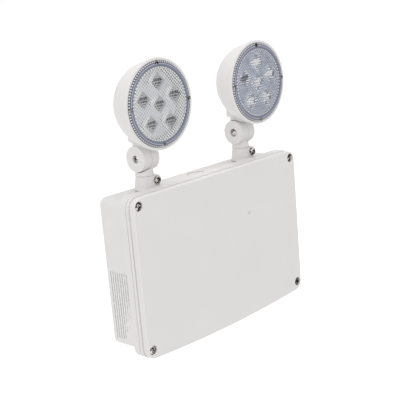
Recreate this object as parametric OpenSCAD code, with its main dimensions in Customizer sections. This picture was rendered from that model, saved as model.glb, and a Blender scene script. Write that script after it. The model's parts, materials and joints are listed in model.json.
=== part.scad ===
// Wall-mounted emergency light: a gasketed battery housing that carries two aimable LED lamp heads.
// X runs to the right as seen from the front, Y runs back to the wall and Z runs up.
// The origin lies on the wall, at the middle of the rear housing.

/* [Rear housing] */
// Width of the rear housing
housing_w = 314; // [300:1:380]
// Height of the rear housing
housing_h = 199; // [190:1:240]
// Depth from the wall to the back of the flange
housing_d = 44.5; // [42:0.5:60]
// Wall thickness
housing_wall = 3; // [2:0.1:4]
// Radius of the four long corners
housing_corner_r = 9.5; // [7:0.5:14]

/* [Flange and cover] */
// How far the flange stands out at the sides
flange_side = 5.8; // [4:0.1:8]
// How far the flange stands out at the top
flange_top = 6.8; // [5:0.1:10]
// How far the flange stands out at the bottom corners
flange_bottom = 8.9; // [6:0.1:12]
// Thickness of the flange
flange_t = 11; // [8:0.5:16]
// Corner radius of the flange and cover
flange_corner_r = 15.5; // [14:0.5:20]
// How far the bottom edge bows down in the middle
bottom_bow = 4.9; // [2:0.1:10]
// Gap that the gasket keeps between the flange and the cover
parting_gap = 0.6; // [0.4:0.1:1.2]
// Depth of the cover's outer band
skirt_d = 4.6; // [4:0.1:12]
// Width of the step from the outer band to the raised front
ledge = 0.9; // [0.5:0.1:2]
// Depth of the raised front
front_d = 9.3; // [8:0.1:16]
// Thickness of the front panel
cover_wall = 2.5; // [2:0.1:4]
// Radius of the front edge
front_edge_r = 2; // [1:0.1:3]
// Distance of the cover screws from the cover's side edge
cover_screw_side = 10.3; // [9:0.1:12]
// Distance of the cover screws from the cover's top edge
cover_screw_top = 11.4; // [10:0.1:14]

/* [Lamp heads] */
// Distance between the two pan axes
head_spacing = 193; // [170:1:230]
// Distance of the pan axes from the wall
head_from_wall = 25.1; // [23:0.1:32]
// Height of the tilt axis above the rear housing
tilt_axis_up = 42.7; // [41:0.1:60]
// Distance of the lens ahead of the tilt axis
lens_forward = 42.4; // [36:0.1:48]
// Height of the lamp's centre above the tilt axis
lamp_axis_up = 70.8; // [68:0.1:84]
// Radius of the domed lamp shell
shell_r = 56; // [52:0.5:60]
// Wall thickness of the lamp shell
shell_wall = 2.5; // [2:0.1:3.5]
// How far the front lip stands out from the dome
lip_side = 2; // [1:0.1:3]
// Depth of the front lip
lip_d = 3.5; // [2:0.1:6]
// Width of the white rim round the lens
rim_w = 4.4; // [3.5:0.1:6]
// How far the lens stands proud of the rim
lens_proud = 1.5; // [0.5:0.1:2]
// Thickness of the lens flange
lens_t = 3; // [2:0.1:4]
// Number of emitters in the ring round the middle one
ring_leds = 5; // [4:1:6]
// How far the ring of emitters lies inside the shell's radius
led_ring_in = 27.5; // [24:0.5:30]
// Gap between the middle optic and those round it
optic_gap = 6.5; // [4:0.5:12]

/* [Swivel] */
// Radius of the collar at its foot
collar_foot_r = 15; // [13:0.5:18]
// Radius of the collar at its top
collar_top_r = 12; // [11:0.5:15]
// Height of the collar
collar_h = 18; // [16:0.5:24]
// Radius of the spigot that turns in the collar
spigot_r = 8; // [7:0.1:8.5]
// Radius of the knuckle's drum
knuckle_r = 17.3; // [15:0.1:18]
// Width across the knuckle
knuckle_w = 27.4; // [26:0.1:36]
// Distance of the clamp screw from the pan axis
clamp_side = 10; // [9.5:0.1:12]
// Number of teeth round the knuckle's seam
knuckle_teeth = 40; // [24:1:48]

/* [Entries and controls] */
// Radius of the conduit entry in the top
conduit_r = 13.6; // [10:0.1:14]
// Distance of the conduit entry from the middle
conduit_x = 4; // [-20:1:20]
// Distance of the test button from the middle
button_x = 104; // [90:1:112]
// Travel of the test button
button_travel = 1.5; // [1:0.1:2]
// Distance between the test button and the pilot light
pilot_pitch = 22; // [18:1:30]
// Distance of the wall screws from the housing's sides
wall_hole_side = 11; // [9:0.5:16]
// Distance of the wall screws from the middle, up and down
wall_hole_z = 75; // [65:1:80]
// Radius of the wall screw holes
wall_hole_r = 2.75; // [2:0.05:3.5]

/* [Battery and electronics] */
// Length of the battery
battery_l = 151; // [120:1:152]
// Thickness of the battery
battery_t = 50; // [40:1:55]
// Height of the battery
battery_h = 94; // [80:1:96]
// Width of the charger board
board_w = 98; // [92:1:104]
// Height of the charger board
board_h = 72; // [66:1:76]
// Width of the transformer core
core_w = 54; // [48:1:56]
// Height of the transformer core
core_h = 45; // [40:1:48]

/* [Hidden] */
$fn = 64;
left = -1;
right = 1;
overrun = 1;
small_fn = 32;

// Housing and flange sizes; the edge on the wall is rounded by a share of the wall's thickness
edge_share = 0.85;
housing_edge_r = edge_share * housing_wall;
cavity_w = housing_w - 2 * housing_wall;
cavity_h = housing_h - 2 * housing_wall;
cover_w = housing_w + 2 * flange_side;
cover_top = housing_h / 2 + flange_top;
cover_bottom = housing_h / 2 + flange_bottom;
cover_h = cover_top + cover_bottom;
cover_middle = (cover_top - cover_bottom) / 2;
flange_front = housing_d + flange_t;
cover_back = flange_front + parting_gap;
front_back = cover_back + skirt_d;
total_d = front_back + front_d;
bow_fn = 720;
housing_top = housing_h / 2;
wall_hole_x = housing_w / 2 - wall_hole_side;
shadow_groove_w = 1;
shadow_groove_d = 0.8;

// The bowed bottom edge is one arc, which starts a little inside the corners
bow_inset = 3;
bow_half_chord = cover_w / 2 - flange_corner_r - bow_inset;
bow_r = (bow_half_chord * bow_half_chord + bottom_bow * bottom_bow) / (2 * bottom_bow);
bow_half_w = bow_half_chord + bow_inset / 2;
bow_half_angle = asin(bow_half_w / bow_r);
bow_centre_z = bow_r - cover_bottom - bottom_bow;

// Gasket, which runs inside the cover screws
gasket_lip = 1.2;
gasket_w = 2.5;
gasket_seat_d = 2;
opening_corner_r = 24.3;

// Cover screws
cover_screw_r = 2.5;
cover_screw_grip = 10;
cover_screw_head_r = 5.4;
cover_screw_head_h = 3.2;
recess_r = 6.2;
recess_d = 4;
stop_r = 4;
cover_screw_x = cover_w / 2 - cover_screw_side;
cover_screw_z = cover_top - cover_screw_top;

// Status window and label
window_x = 53;
window_z = 37;
window_r = 2.4;
window_flange_r = 4;
window_flange_t = 1;
label_t = 0.2;
label_w = 34;
label_h = 91;
label_corner_r = 2;
label_top = 3;
label_from_wall = 5;

// Collar, gasket and lock nut, measured from the top of the housing
pad_r = 22;
pad_t = 0.4;
base_gasket_t = 1;
base_gasket_r = 13.4;
nipple_r = 9.5;
nipple_bore_r = 5;
nipple_l = 9;
nipple_clearance = 0.2;
lock_nut_t = 6;
lock_nut_r = 16;
collar_foot = pad_t + base_gasket_t;
collar_top = collar_foot + collar_h;
collar_floor = 3;
turn_gap = 0.3;
fit_clearance = 0.06;
lug_depth = 12.5;
clamp_r = 2.5;
hole_gap = 0.1;
clamp_head_r = 5.5;
clamp_head_h = 3.4;
clamp_up = 10.8;
lug_r = collar_h - clamp_up;
slit_w = 1.6;
m5_nut_r = 4.6;
m5_nut_t = 4;
spigot_groove_d = 1.6;
spigot_groove_w = 7;
stem_flange_side = 0.7;
stem_flange_t = 1.8;
stem_bore_r = 4;

// Knuckle
neck_r = 12;
half_gap = 0.15;
drum_gap = 0.9;
boss_r = 17;
boss_up = 22.5;
bolt_r = 2.5;
bolt_head_r = 4.2;
bolt_head_h = 4;
bolt_recess_r = 5;
bolt_recess_d = 4.6;
nut_recess_r = 5.5;
nut_recess_d = 4.8;
wire_cavity_r = 9.5;
wire_cavity_d = 4;
tooth_w = 0.7;
tooth_d = 0.6;
tooth_reach = 1.4;
hex_socket_r = 2.3;
hex_socket_d = 2.2;

// Lamp, measured from the front face of the lens flange
lip_r = shell_r + lip_side;
lens_r = lip_r - rim_w;
lip_edge_r = 1;
dome_back = lens_proud + lip_d;
lens_seat_gap = 0.3;
lens_gasket_t = 1;
lens_seat = lens_t + lens_gasket_t;
lens_land = 6.2;
window_step = 0.6;
lens_frame_w = 6.8;
lens_window_r = lens_r - lens_frame_w;
lens_window_t = 2.4;
lens_ridge_in = 3.6;
lens_ridge_r = lens_r - lens_ridge_in;
lens_ridge_w = 0.8;
lens_ridge_h = 0.4;
seat_ring_t = 4;
lens_screw_r = 1.5;
lens_screw_in = 2;
lens_screw_l = 12;
lens_screw_head_r = 3;
lens_screw_head_h = 1.8;
lens_screw_sink = 1.2;
lens_screws_count = 4;
screw_boss_r = 3.6;
screw_boss_d = 11;
plate_back = 20;
plate_t = 2;
plate_in = 11;
plate_r = shell_r - plate_in;
led_board_t = 1.6;
led_board_in = 2;
led_board_r = plate_r - led_board_in;
led_ring_r = shell_r - led_ring_in;
optic_r = (led_ring_r - optic_gap) / 2;
plate_posts = 3;
plate_post_in = 7;
plate_post_ring_r = plate_r - plate_post_in;
plate_post_r = 4;
stake_r = 2;
stake_h = 2.6;
chip_w = 3.5;
chip_t = 1;
chip_dome_r = 1.4;
optic_foot_r = 5;
optic_h = 9;
optic_rim_h = 1.4;
optic_pocket_r = 3;
optic_pocket_d = 2.4;
lead_r = 2;
plate_lead_r = lead_r + turn_gap;
lead_hole_up = lamp_axis_up - led_ring_r / 2;

// Conduit plug
plug_flange_side = 1.3;
plug_flange_t = 1.2;
plug_clearance = 0.3;
plug_skirt_l = 6;
plug_wall = 1.6;

// Test button and pilot light, on the underside
control_from_wall = 20;
button_r = 4.5;
button_clearance = 0.1;
button_proud = 3;
bezel_r = 9;
bezel_t = 2;
barrel_r = 6.5;
barrel_l = 5;
button_l = 12;
switch_w = 16;
switch_h = 9;
pilot_r = 4;
pilot_proud = 3;
pilot_flange_r = 6;
pilot_flange_t = 1.5;

// Bosses on the floor of the housing
wall_pad_r = 9;
wall_pad_t = 2;
strap_boss_r = 4.5;
strap_boss_h = 5;
board_post_r = 3.5;
board_post_h = 8;
core_post_r = 4;
core_post_h = 13;
screw_hole_d = 6;

// Battery and its strap
battery_side_gap = 25;
battery_lid_h = 8;
battery_seam = 0.6;
battery_x = -cavity_w / 2 + battery_side_gap;
battery_z = -cavity_h / 2;
terminal_inset = 14;
terminal_base_w = 10;
terminal_base_h = 2;
tab_w = 6.3;
tab_t = 0.8;
tab_h = 8;
strap_t = 1.2;
strap_w = 18;
strap_foot = 12;
strap_z = battery_z + battery_h / 2;
strap_screw_r = 1.9;
strap_head_r = 3.5;
strap_head_h = 2.2;

// Charger board and what stands on it
board_side_gap = 18;
board_t = 1.6;
board_screw_inset = 4;
board_screw_r = 1.5;
board_head_r = 2.8;
board_head_h = 2;
board_back = housing_wall + board_post_h;
board_front = board_back + board_t;
board_x = cavity_w / 2 - board_side_gap - board_w;
board_top = 0;
board_z = board_top - board_h;
port_pitch = 6;
port_first = 12;
port_count = 7;
block_w = 50;
block_h = 10;
block_d = 12;
block_margin = 8;
port_screw_r = 1.8;
port_screw_d = 1;
relay_w = 19;
relay_h = 15;
relay_d = 15;
relay_share = [0.12, 0.52];
capacitor_r = 8;
capacitor_l = 25;
capacitor_shares = [[0.46, 0.6], [0.66, 0.6]];
sink_w = 30;
sink_h = 20;
sink_d = 22;
sink_base = 3;
sink_fins = 6;
sink_fin_t = 1.4;
sink_share = [0.4, 0.12];
fuse_r = 2.6;
fuse_l = 20;
fuse_cap_l = 5;
fuse_glass_step = 0.3;
fuse_up = 5;
fuse_share = [0.24, 0.2];

// Transformer
core_from_wires = 30.5;
core_x = head_spacing / 2 - core_from_wires;
core_z = 60;
core_d = 18;
core_leg = 18;
core_window_w = 9;
core_window_h = 27;
coil_bulge = 8.5;
coil_clearance = 0.3;
core_screw_inset = 5;
core_screw_r = 1.9;
core_head_r = 3.5;
core_head_h = 2.4;
core_back = housing_wall + core_post_h;

// Wires
wire_r = 1.2;
cable_r = 2;
wire_sides = 8;
wire_bend = 6;
bend_steps = 4;
wire_gap = 0.4;
steep_share = 0.9;
feed_rise = 14;
red_rise = 22;
black_rise = 27;
low_cable_rise = 9;
high_cable_rise = 33;
feed_back = 38;
landing_rise = 5;

// Flat shapes, drawn in X and Z
module round_rect(w, h, r) {
  square([w - 2 * r, h], center = true);
  square([w, h - 2 * r], center = true);
  for (sx = [left, right], sz = [-1, 1]) {
    translate([sx * (w / 2 - r), sz * (h / 2 - r)])
      circle(r);
  }
}

// Outline of the flange and cover, with its bowed bottom edge, grown or shrunk evenly
module cover_outline(grow) {
  translate([0, cover_middle])
    round_rect(cover_w + 2 * grow, cover_h + 2 * grow, flange_corner_r + grow);
  intersection() {
    translate([0, bow_centre_z])
      circle(bow_r + grow, $fn = bow_fn);
    translate([0, -cover_bottom - grow - bottom_bow])
      square([2 * bow_half_w, 4 * bottom_bow], center = true);
  }
}

// Opening of the flange and cover, which passes inside the cover screws
module opening_outline(grow) {
  round_rect(cavity_w + 2 * grow, cavity_h + 2 * grow, opening_corner_r + grow);
}

// Turns a flat X and Z shape into a plate that starts at a distance from the wall
module plate(from_wall, thickness) {
  translate([0, -from_wall, 0])
    rotate([90, 0, 0])
      linear_extrude(thickness)
        children();
}

// Places a round part that points away from the wall
module outward(x, from_wall, z) {
  translate([x, -from_wall, z])
    rotate([90, 0, 0])
      children();
}

// Section of a slab from its middle out to its edge, with the front corner rounded
module edge_section(inner, outer, depth, edge_r) {
  translate([inner, 0])
    square([outer - inner, depth - edge_r]);
  translate([inner, 0])
    square([outer - inner - edge_r, depth]);
  translate([outer - edge_r, depth - edge_r])
    circle(edge_r, $fn = small_fn);
}

module slab_side(x, y, facing, length, reach, depth, edge_r) {
  translate([x, y, 0])
    rotate([0, 0, facing])
      rotate([90, 0, 0])
        linear_extrude(length, center = true)
          edge_section(0, reach, depth, edge_r);
}

module slab_arc(x, y, from_angle, to_angle, inner, outer, depth, edge_r) {
  translate([x, y, 0])
    rotate([0, 0, from_angle])
      rotate_extrude(angle = to_angle - from_angle)
        edge_section(inner, outer, depth, edge_r);
}

// Slab with round corners and a front edge that is rounded all round
module rounded_slab(w, h, r, depth, edge_r) {
  x = w / 2 - r;
  y = h / 2 - r;
  translate([-x, -y, 0])
    cube([2 * x, 2 * y, depth]);
  for (turn = [0:90:270]) {
    flat = turn % 180 == 0;
    slab_side(x * cos(turn), y * sin(turn), turn, 2 * (flat ? y : x), r, depth, edge_r);
  }
  slab_arc(x, y, 0, 90, 0, r, depth, edge_r);
  slab_arc(-x, y, 90, 180, 0, r, depth, edge_r);
  slab_arc(-x, -y, 180, 270, 0, r, depth, edge_r);
  slab_arc(x, -y, 270, 360, 0, r, depth, edge_r);
}

module cover_screw_places() {
  for (sx = [left, right], sz = [-1, 1]) {
    translate([sx * cover_screw_x, 0, sz * cover_screw_z])
      children();
  }
}

module wall_hole_places() {
  for (sx = [left, right], sz = [-1, 1]) {
    translate([sx * wall_hole_x, 0, sz * wall_hole_z])
      children();
  }
}

// Frame of one head's swivel, on top of the housing at the pan axis
module at_swivel(side) {
  translate([side * head_spacing / 2, -head_from_wall, housing_top])
    children();
}

module at_tilt(side) {
  at_swivel(side)
    translate([0, 0, tilt_axis_up])
      children();
}

// Frame of one lamp: its Z points forward out of the lens flange's front face, its Y points up
module at_lamp(side) {
  at_tilt(side)
    translate([0, -lens_forward, lamp_axis_up])
      rotate([90, 0, 0])
        children();
}

// The right knuckle is the mirror image of the left one
module handed(side) {
  if (side == right) {
    mirror([1, 0, 0])
      children();
  } else {
    children();
  }
}

// A cylinder across the knuckle, between two places on the tilt axis
module across(x0, x1, r) {
  translate([x0, 0, 0])
    rotate([0, 90, 0])
      cylinder(r = r, h = x1 - x0);
}

// Cross recess in a screw head, cut down from the top
module cross_recess(reach, w, d) {
  for (a = [0, 90]) {
    rotate([0, 0, a])
      translate([-reach, -w / 2, -d])
        cube([2 * reach, w, d + overrun]);
  }
}

// Screw that points back to the wall: its head's seat is at the origin
module pan_screw(r, l, head_r, head_h) {
  difference() {
    union() {
      cylinder(r = head_r, h = head_h);
      translate([0, 0, -l])
        cylinder(r = r, h = l);
    }
    translate([0, 0, head_h])
      cross_recess(head_r / 2, r / 2, head_h / 2);
  }
}

module hex_nut(across_r, bore_r, t) {
  difference() {
    cylinder(r = across_r, h = t, $fn = 6);
    translate([0, 0, -overrun])
      cylinder(r = bore_r, h = t + 2 * overrun);
  }
}

// Route of a wire: straight runs with a rounded bend at each inner point
function unit(v) = v / norm(v);
function bend_point(a, b, c, s) =
  let (p = b + unit(a - b) * wire_bend, q = b + unit(c - b) * wire_bend)
  (1 - s) * (1 - s) * p + 2 * s * (1 - s) * b + s * s * q;
function route(points) = concat(
  [points[0]],
  [for (i = [1:1:len(points) - 2], k = [0:bend_steps])
    bend_point(points[i - 1], points[i], points[i + 1], k / bend_steps)],
  [points[len(points) - 1]]
);
function headings(p) = [for (i = [0:len(p) - 1])
  unit(p[min(i + 1, len(p) - 1)] - p[max(i - 1, 0)])];
function sides_of(t, n, i = 0) = i == len(t) ? [] :
  let (m = unit(n - (n * t[i]) * t[i])) concat([m], sides_of(t, m, i + 1));

module wire(points, r) {
  p = route(points);
  t = headings(p);
  start = abs(t[0][2]) > steep_share ? [1, 0, 0] : [0, 0, 1];
  n = sides_of(t, start);
  rings = len(p);
  vertices = [for (i = [0:rings - 1], k = [0:wire_sides - 1])
    let (a = 360 * k / wire_sides)
    p[i] + r * (cos(a) * n[i] + sin(a) * cross(t[i], n[i]))];
  walls = [for (i = [0:rings - 2], k = [0:wire_sides - 1])
    let (a = i * wire_sides + k, b = i * wire_sides + (k + 1) % wire_sides)
    each [[a, a + wire_sides, b], [b, a + wire_sides, b + wire_sides]]];
  ends = [
    [for (k = [0:wire_sides - 1]) k],
    [for (k = [wire_sides - 1:-1:0]) (rings - 1) * wire_sides + k]
  ];
  polyhedron(vertices, concat(walls, ends));
}

// Rear housing
module housing_shell() {
  translate([0, -housing_d, 0])
    rotate([-90, 0, 0])
      rounded_slab(housing_w, housing_h, housing_corner_r, housing_d, housing_edge_r);
  plate(housing_d, flange_t)
    cover_outline(0);
}

module floor_post(x, z, r, h) {
  outward(x, housing_wall, z)
    cylinder(r = r, h = h);
}

module board_corners() {
  for (x = [board_x + board_screw_inset, board_x + board_w - board_screw_inset],
       z = [board_z + board_screw_inset, board_top - board_screw_inset]) {
    translate([x, 0, z])
      children();
  }
}

module core_corners() {
  for (sx = [left, right], sz = [-1, 1]) {
    translate([core_x + sx * (core_w / 2 - core_screw_inset), 0, core_z + sz * (core_h / 2 - core_screw_inset)])
      children();
  }
}

module strap_feet() {
  for (x = [battery_x - strap_t - strap_foot / 2, battery_x + battery_l + strap_t + strap_foot / 2]) {
    translate([x, 0, strap_z])
      children();
  }
}

module rear_housing() {
  color("whitesmoke")
    difference() {
      union() {
        difference() {
          union() {
            housing_shell();
            for (side = [left, right]) {
              at_swivel(side)
                translate([0, 0, -housing_wall / 2])
                  cylinder(r = pad_r, h = housing_wall / 2 + pad_t);
            }
          }
          plate(housing_wall, housing_d - housing_wall)
            round_rect(cavity_w, cavity_h, housing_corner_r - housing_wall);
          plate(housing_d - overrun, flange_t + 2 * overrun)
            opening_outline(0);
          plate(flange_front - gasket_seat_d, gasket_seat_d + overrun)
            difference() {
              opening_outline(gasket_lip + gasket_w);
              opening_outline(gasket_lip);
            }
        }
        wall_hole_places()
          floor_post(0, 0, wall_pad_r, wall_pad_t);
        strap_feet()
          floor_post(0, 0, strap_boss_r, strap_boss_h);
        board_corners()
          floor_post(0, 0, board_post_r, board_post_h);
        core_corners()
          floor_post(0, 0, core_post_r, core_post_h);
      }
      wall_hole_places()
        outward(0, -overrun, 0)
          cylinder(r = wall_hole_r, h = housing_wall + wall_pad_t + 2 * overrun);
      strap_feet()
        outward(0, housing_wall + strap_boss_h - screw_hole_d, 0)
          cylinder(r = strap_screw_r, h = screw_hole_d + overrun);
      board_corners()
        outward(0, board_back - screw_hole_d, 0)
          cylinder(r = board_screw_r, h = screw_hole_d + overrun);
      core_corners()
        outward(0, core_back - screw_hole_d, 0)
          cylinder(r = core_screw_r, h = screw_hole_d + overrun);
      cover_screw_places()
        outward(0, flange_front - cover_screw_grip, 0)
          cylinder(r = cover_screw_r, h = cover_screw_grip + overrun);
      for (side = [left, right]) {
        at_swivel(side)
          translate([0, 0, -housing_wall - overrun])
            cylinder(r = nipple_r + nipple_clearance, h = housing_wall + 2 * overrun);
      }
      translate([conduit_x, -head_from_wall, housing_top]) {
        translate([0, 0, -housing_wall - overrun])
          cylinder(r = conduit_r, h = housing_wall + 2 * overrun);
        translate([0, 0, -plug_flange_t])
          cylinder(r = conduit_r + plug_flange_side + plug_clearance, h = plug_flange_t + overrun);
      }
      translate([button_x, -control_from_wall, -housing_top - overrun])
        cylinder(r = barrel_r + button_clearance, h = housing_wall + 2 * overrun);
      translate([button_x - pilot_pitch, -control_from_wall, -housing_top - overrun])
        cylinder(r = pilot_r, h = housing_wall + 2 * overrun);
    }
}

// Front cover: an outer band, a shadow groove and a raised front with a rounded edge
module raised_front() {
  depth = front_d + overrun;
  r = flange_corner_r - ledge;
  outward(0, front_back - overrun, cover_middle) {
    rounded_slab(cover_w - 2 * ledge, cover_h - 2 * ledge, r, depth, front_edge_r);
    slab_arc(0, bow_centre_z - cover_middle, 270 - bow_half_angle, 270 + bow_half_angle,
             bow_r - ledge - r, bow_r - ledge, depth, front_edge_r, $fn = bow_fn);
  }
}

module front_cover() {
  color("whitesmoke")
    difference() {
      union() {
        difference() {
          union() {
            plate(cover_back, skirt_d)
              cover_outline(0);
            raised_front();
          }
          plate(front_back, shadow_groove_w)
            difference() {
              cover_outline(0);
              cover_outline(-ledge - shadow_groove_d);
            }
          plate(cover_back - overrun, total_d - cover_wall - cover_back + overrun)
            opening_outline(0);
        }
        cover_screw_places()
          outward(0, flange_front, 0)
            cylinder(r = stop_r, h = parting_gap + overrun);
      }
      cover_screw_places() {
        outward(0, flange_front - overrun, 0)
          cylinder(r = cover_screw_r, h = total_d - flange_front + 2 * overrun);
        outward(0, total_d - recess_d, 0)
          cylinder(r = recess_r, h = recess_d + overrun);
      }
      outward(window_x, total_d - cover_wall - overrun, window_z)
        cylinder(r = window_r, h = cover_wall + 2 * overrun, $fn = small_fn);
    }
}

module cover_gasket() {
  color("dimgray")
    plate(flange_front - gasket_seat_d, gasket_seat_d + parting_gap)
      difference() {
        opening_outline(gasket_lip + gasket_w);
        opening_outline(gasket_lip);
      }
}

module cover_screws() {
  color("silver")
    cover_screw_places()
      outward(0, total_d - recess_d, 0)
        pan_screw(cover_screw_r, total_d - recess_d - flange_front + cover_screw_grip, cover_screw_head_r,
                  cover_screw_head_h);
}

module status_window() {
  color("lightgray")
    outward(window_x, total_d - cover_wall, window_z) {
      cylinder(r = window_r, h = cover_wall, $fn = small_fn);
      translate([0, 0, -window_flange_t])
        cylinder(r = window_flange_r, h = window_flange_t, $fn = small_fn);
    }
}

// Blank plate on the left side of the housing
module label_plate() {
  color("white")
    translate([-housing_w / 2, -label_from_wall - label_w / 2, label_top - label_h / 2])
      rotate([0, -90, 0])
        linear_extrude(label_t)
          round_rect(label_h, label_w, label_corner_r);
}

module conduit_plug() {
  color("white")
    translate([conduit_x, -head_from_wall, housing_top])
      difference() {
        union() {
          translate([0, 0, -plug_flange_t])
            cylinder(r = conduit_r + plug_flange_side, h = plug_flange_t);
          translate([0, 0, -plug_skirt_l])
            cylinder(r = conduit_r, h = plug_skirt_l);
        }
        translate([0, 0, -plug_skirt_l - overrun])
          cylinder(r = conduit_r - plug_wall, h = plug_skirt_l - plug_wall + overrun);
      }
}

// Swivel base: tapered collar with a clamp lug and a threaded nipple through the housing
module swivel_base(side) {
  color("whitesmoke")
    at_swivel(side)
      difference() {
        union() {
          translate([0, 0, collar_foot])
            cylinder(r1 = collar_foot_r, r2 = collar_top_r, h = collar_h);
          translate([0, lug_depth, collar_foot])
            rotate([90, 0, 0])
              linear_extrude(2 * lug_depth) {
                square([clamp_side + lug_r, clamp_up]);
                translate([clamp_side, clamp_up])
                  circle(lug_r);
              }
          translate([0, 0, -nipple_l - housing_wall])
            cylinder(r = nipple_r, h = nipple_l + housing_wall + collar_foot);
        }
        translate([0, 0, collar_foot + collar_floor])
          cylinder(r = spigot_r + fit_clearance, h = collar_h);
        translate([0, 0, -nipple_l - housing_wall - overrun])
          cylinder(r = nipple_bore_r, h = nipple_l + housing_wall + collar_h);
        translate([0, -slit_w / 2, collar_foot + collar_floor])
          cube([clamp_side + lug_r + overrun, slit_w, collar_h]);
        translate([clamp_side, lug_depth + overrun, collar_foot + clamp_up])
          rotate([90, 0, 0])
            cylinder(r = clamp_r + hole_gap, h = 2 * lug_depth + 2 * overrun);
      }
}

module left_swivel_base() {
  swivel_base(left);
}

module right_swivel_base() {
  swivel_base(right);
}

module base_gaskets() {
  color("dimgray")
    for (side = [left, right]) {
      at_swivel(side)
        translate([0, 0, pad_t])
          difference() {
            cylinder(r = base_gasket_r, h = base_gasket_t);
            translate([0, 0, -overrun])
              cylinder(r = nipple_r, h = base_gasket_t + 2 * overrun);
          }
    }
}

module lock_nuts() {
  color("silver")
    for (side = [left, right]) {
      at_swivel(side)
        translate([0, 0, -housing_wall - lock_nut_t])
          hex_nut(lock_nut_r, nipple_r, lock_nut_t);
    }
}

module at_clamp(side) {
  at_swivel(side)
    translate([clamp_side, 0, collar_foot + clamp_up])
      rotate([90, 0, 0])
        children();
}

module clamp_screws() {
  color("silver")
    for (side = [left, right]) {
      at_clamp(side)
        translate([0, 0, lug_depth])
          pan_screw(clamp_r, 2 * lug_depth + m5_nut_t, clamp_head_r, clamp_head_h);
    }
}

module clamp_nuts() {
  color("silver")
    for (side = [left, right]) {
      at_clamp(side)
        translate([0, 0, -lug_depth - m5_nut_t])
          hex_nut(m5_nut_r, clamp_r, m5_nut_t);
    }
}

// Stem: spigot, flange, neck and the half drum on the side of the middle line
module stem(side) {
  flange_z = collar_top + turn_gap;
  spigot_z = collar_foot + collar_floor + turn_gap;
  color("whitesmoke")
    at_swivel(side)
      handed(side)
        difference() {
          union() {
            translate([0, 0, spigot_z])
              cylinder(r = spigot_r, h = flange_z - spigot_z);
            translate([0, 0, flange_z])
              cylinder(r = collar_top_r + stem_flange_side, h = stem_flange_t);
            translate([0, 0, flange_z])
              cylinder(r = neck_r, h = tilt_axis_up - flange_z);
            translate([0, 0, tilt_axis_up])
              across(half_gap, knuckle_w / 2, knuckle_r);
          }
          translate([0, 0, collar_foot + clamp_up - spigot_groove_w / 2])
            difference() {
              cylinder(r = spigot_r + overrun, h = spigot_groove_w);
              cylinder(r = spigot_r - spigot_groove_d, h = spigot_groove_w);
            }
          translate([0, 0, tilt_axis_up])
            stem_drum_cuts();
          translate([0, 0, spigot_z - overrun])
            cylinder(r = stem_bore_r, h = tilt_axis_up - wire_cavity_r / 2 - spigot_z);
        }
}

module stem_drum_cuts() {
  across(-knuckle_w, half_gap, knuckle_r + drum_gap);
  across(-overrun, knuckle_w, bolt_r + fit_clearance);
  across(-overrun, half_gap + wire_cavity_d, wire_cavity_r);
  across(knuckle_w / 2 - nut_recess_d, knuckle_w, nut_recess_r);
  for (i = [0:knuckle_teeth - 1]) {
    rotate([360 * i / knuckle_teeth, 0, 0])
      translate([0, -tooth_w / 2, knuckle_r - tooth_reach])
        cube([half_gap + tooth_d, tooth_w, tooth_reach + overrun]);
  }
}

module left_stem() {
  stem(left);
}

module right_stem() {
  stem(right);
}

module knuckle_nut(side) {
  color("silver")
    at_tilt(side)
      handed(side)
        translate([knuckle_w / 2 - nut_recess_d, 0, 0])
          rotate([0, 90, 0])
            hex_nut(m5_nut_r, bolt_r + fit_clearance, m5_nut_t);
}

module left_knuckle_nut() {
  knuckle_nut(left);
}

module right_knuckle_nut() {
  knuckle_nut(right);
}

module knuckle_bolt(side) {
  seat = -knuckle_w / 2 + bolt_recess_d;
  tip = knuckle_w / 2 - nut_recess_d + m5_nut_t;
  color("silver")
    at_tilt(side)
      handed(side)
        difference() {
          union() {
            across(seat, tip, bolt_r);
            across(seat - bolt_head_h, seat, bolt_head_r);
          }
          translate([seat - bolt_head_h - overrun, 0, 0])
            rotate([0, 90, 0])
              cylinder(r = hex_socket_r, h = hex_socket_d + overrun, $fn = 6);
        }
}

module left_knuckle_bolt() {
  knuckle_bolt(left);
}

module right_knuckle_bolt() {
  knuckle_bolt(right);
}

// Lamp shell: dome with a front lip, a lens seat, and the boss and half drum of the knuckle
module shell_outline() {
  intersection() {
    translate([0, -dome_back])
      circle(shell_r);
    translate([0, -dome_back - shell_r])
      square([shell_r, shell_r]);
  }
  translate([0, -dome_back])
    square([lip_r, lip_d - lip_edge_r]);
  translate([0, -dome_back])
    square([lip_r - lip_edge_r, lip_d]);
  translate([lip_r - lip_edge_r, -lens_proud - lip_edge_r])
    circle(lip_edge_r, $fn = small_fn);
}

module shell_hollow() {
  seat_back = lens_seat + seat_ring_t;
  intersection() {
    translate([0, -dome_back])
      circle(shell_r - shell_wall);
    translate([0, -dome_back - shell_r])
      square([shell_r, shell_r + dome_back - seat_back]);
  }
  translate([0, -seat_back - overrun])
    square([lens_r - lens_land, seat_back + overrun]);
  translate([0, -lens_seat])
    square([lens_r + lens_seat_gap, lens_seat]);
}

module lens_screw_places() {
  for (i = [0:lens_screws_count - 1]) {
    rotate([0, 0, 360 * i / lens_screws_count])
      translate([lens_r - lens_screw_in, 0, 0])
        children();
  }
}

module plate_post_places() {
  for (i = [0:plate_posts - 1]) {
    rotate([0, 0, 90 + 360 * i / plate_posts])
      translate([plate_post_ring_r, 0, 0])
        children();
  }
}

module lamp_shell(side) {
  color("whitesmoke")
    difference() {
      union() {
        difference() {
          union() {
            at_lamp(side)
              rotate_extrude()
                shell_outline();
            at_tilt(side)
              handed(side)
                knuckle_boss();
          }
          at_lamp(side)
            rotate_extrude()
              shell_hollow();
        }
        at_lamp(side)
          shell_posts();
      }
      at_lamp(side)
        lens_screw_places()
          translate([0, 0, -lens_screw_l])
            cylinder(r = lens_screw_r, h = lens_screw_l, $fn = small_fn);
      at_tilt(side)
        handed(side)
          shell_drum_cuts();
    }
}

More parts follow.
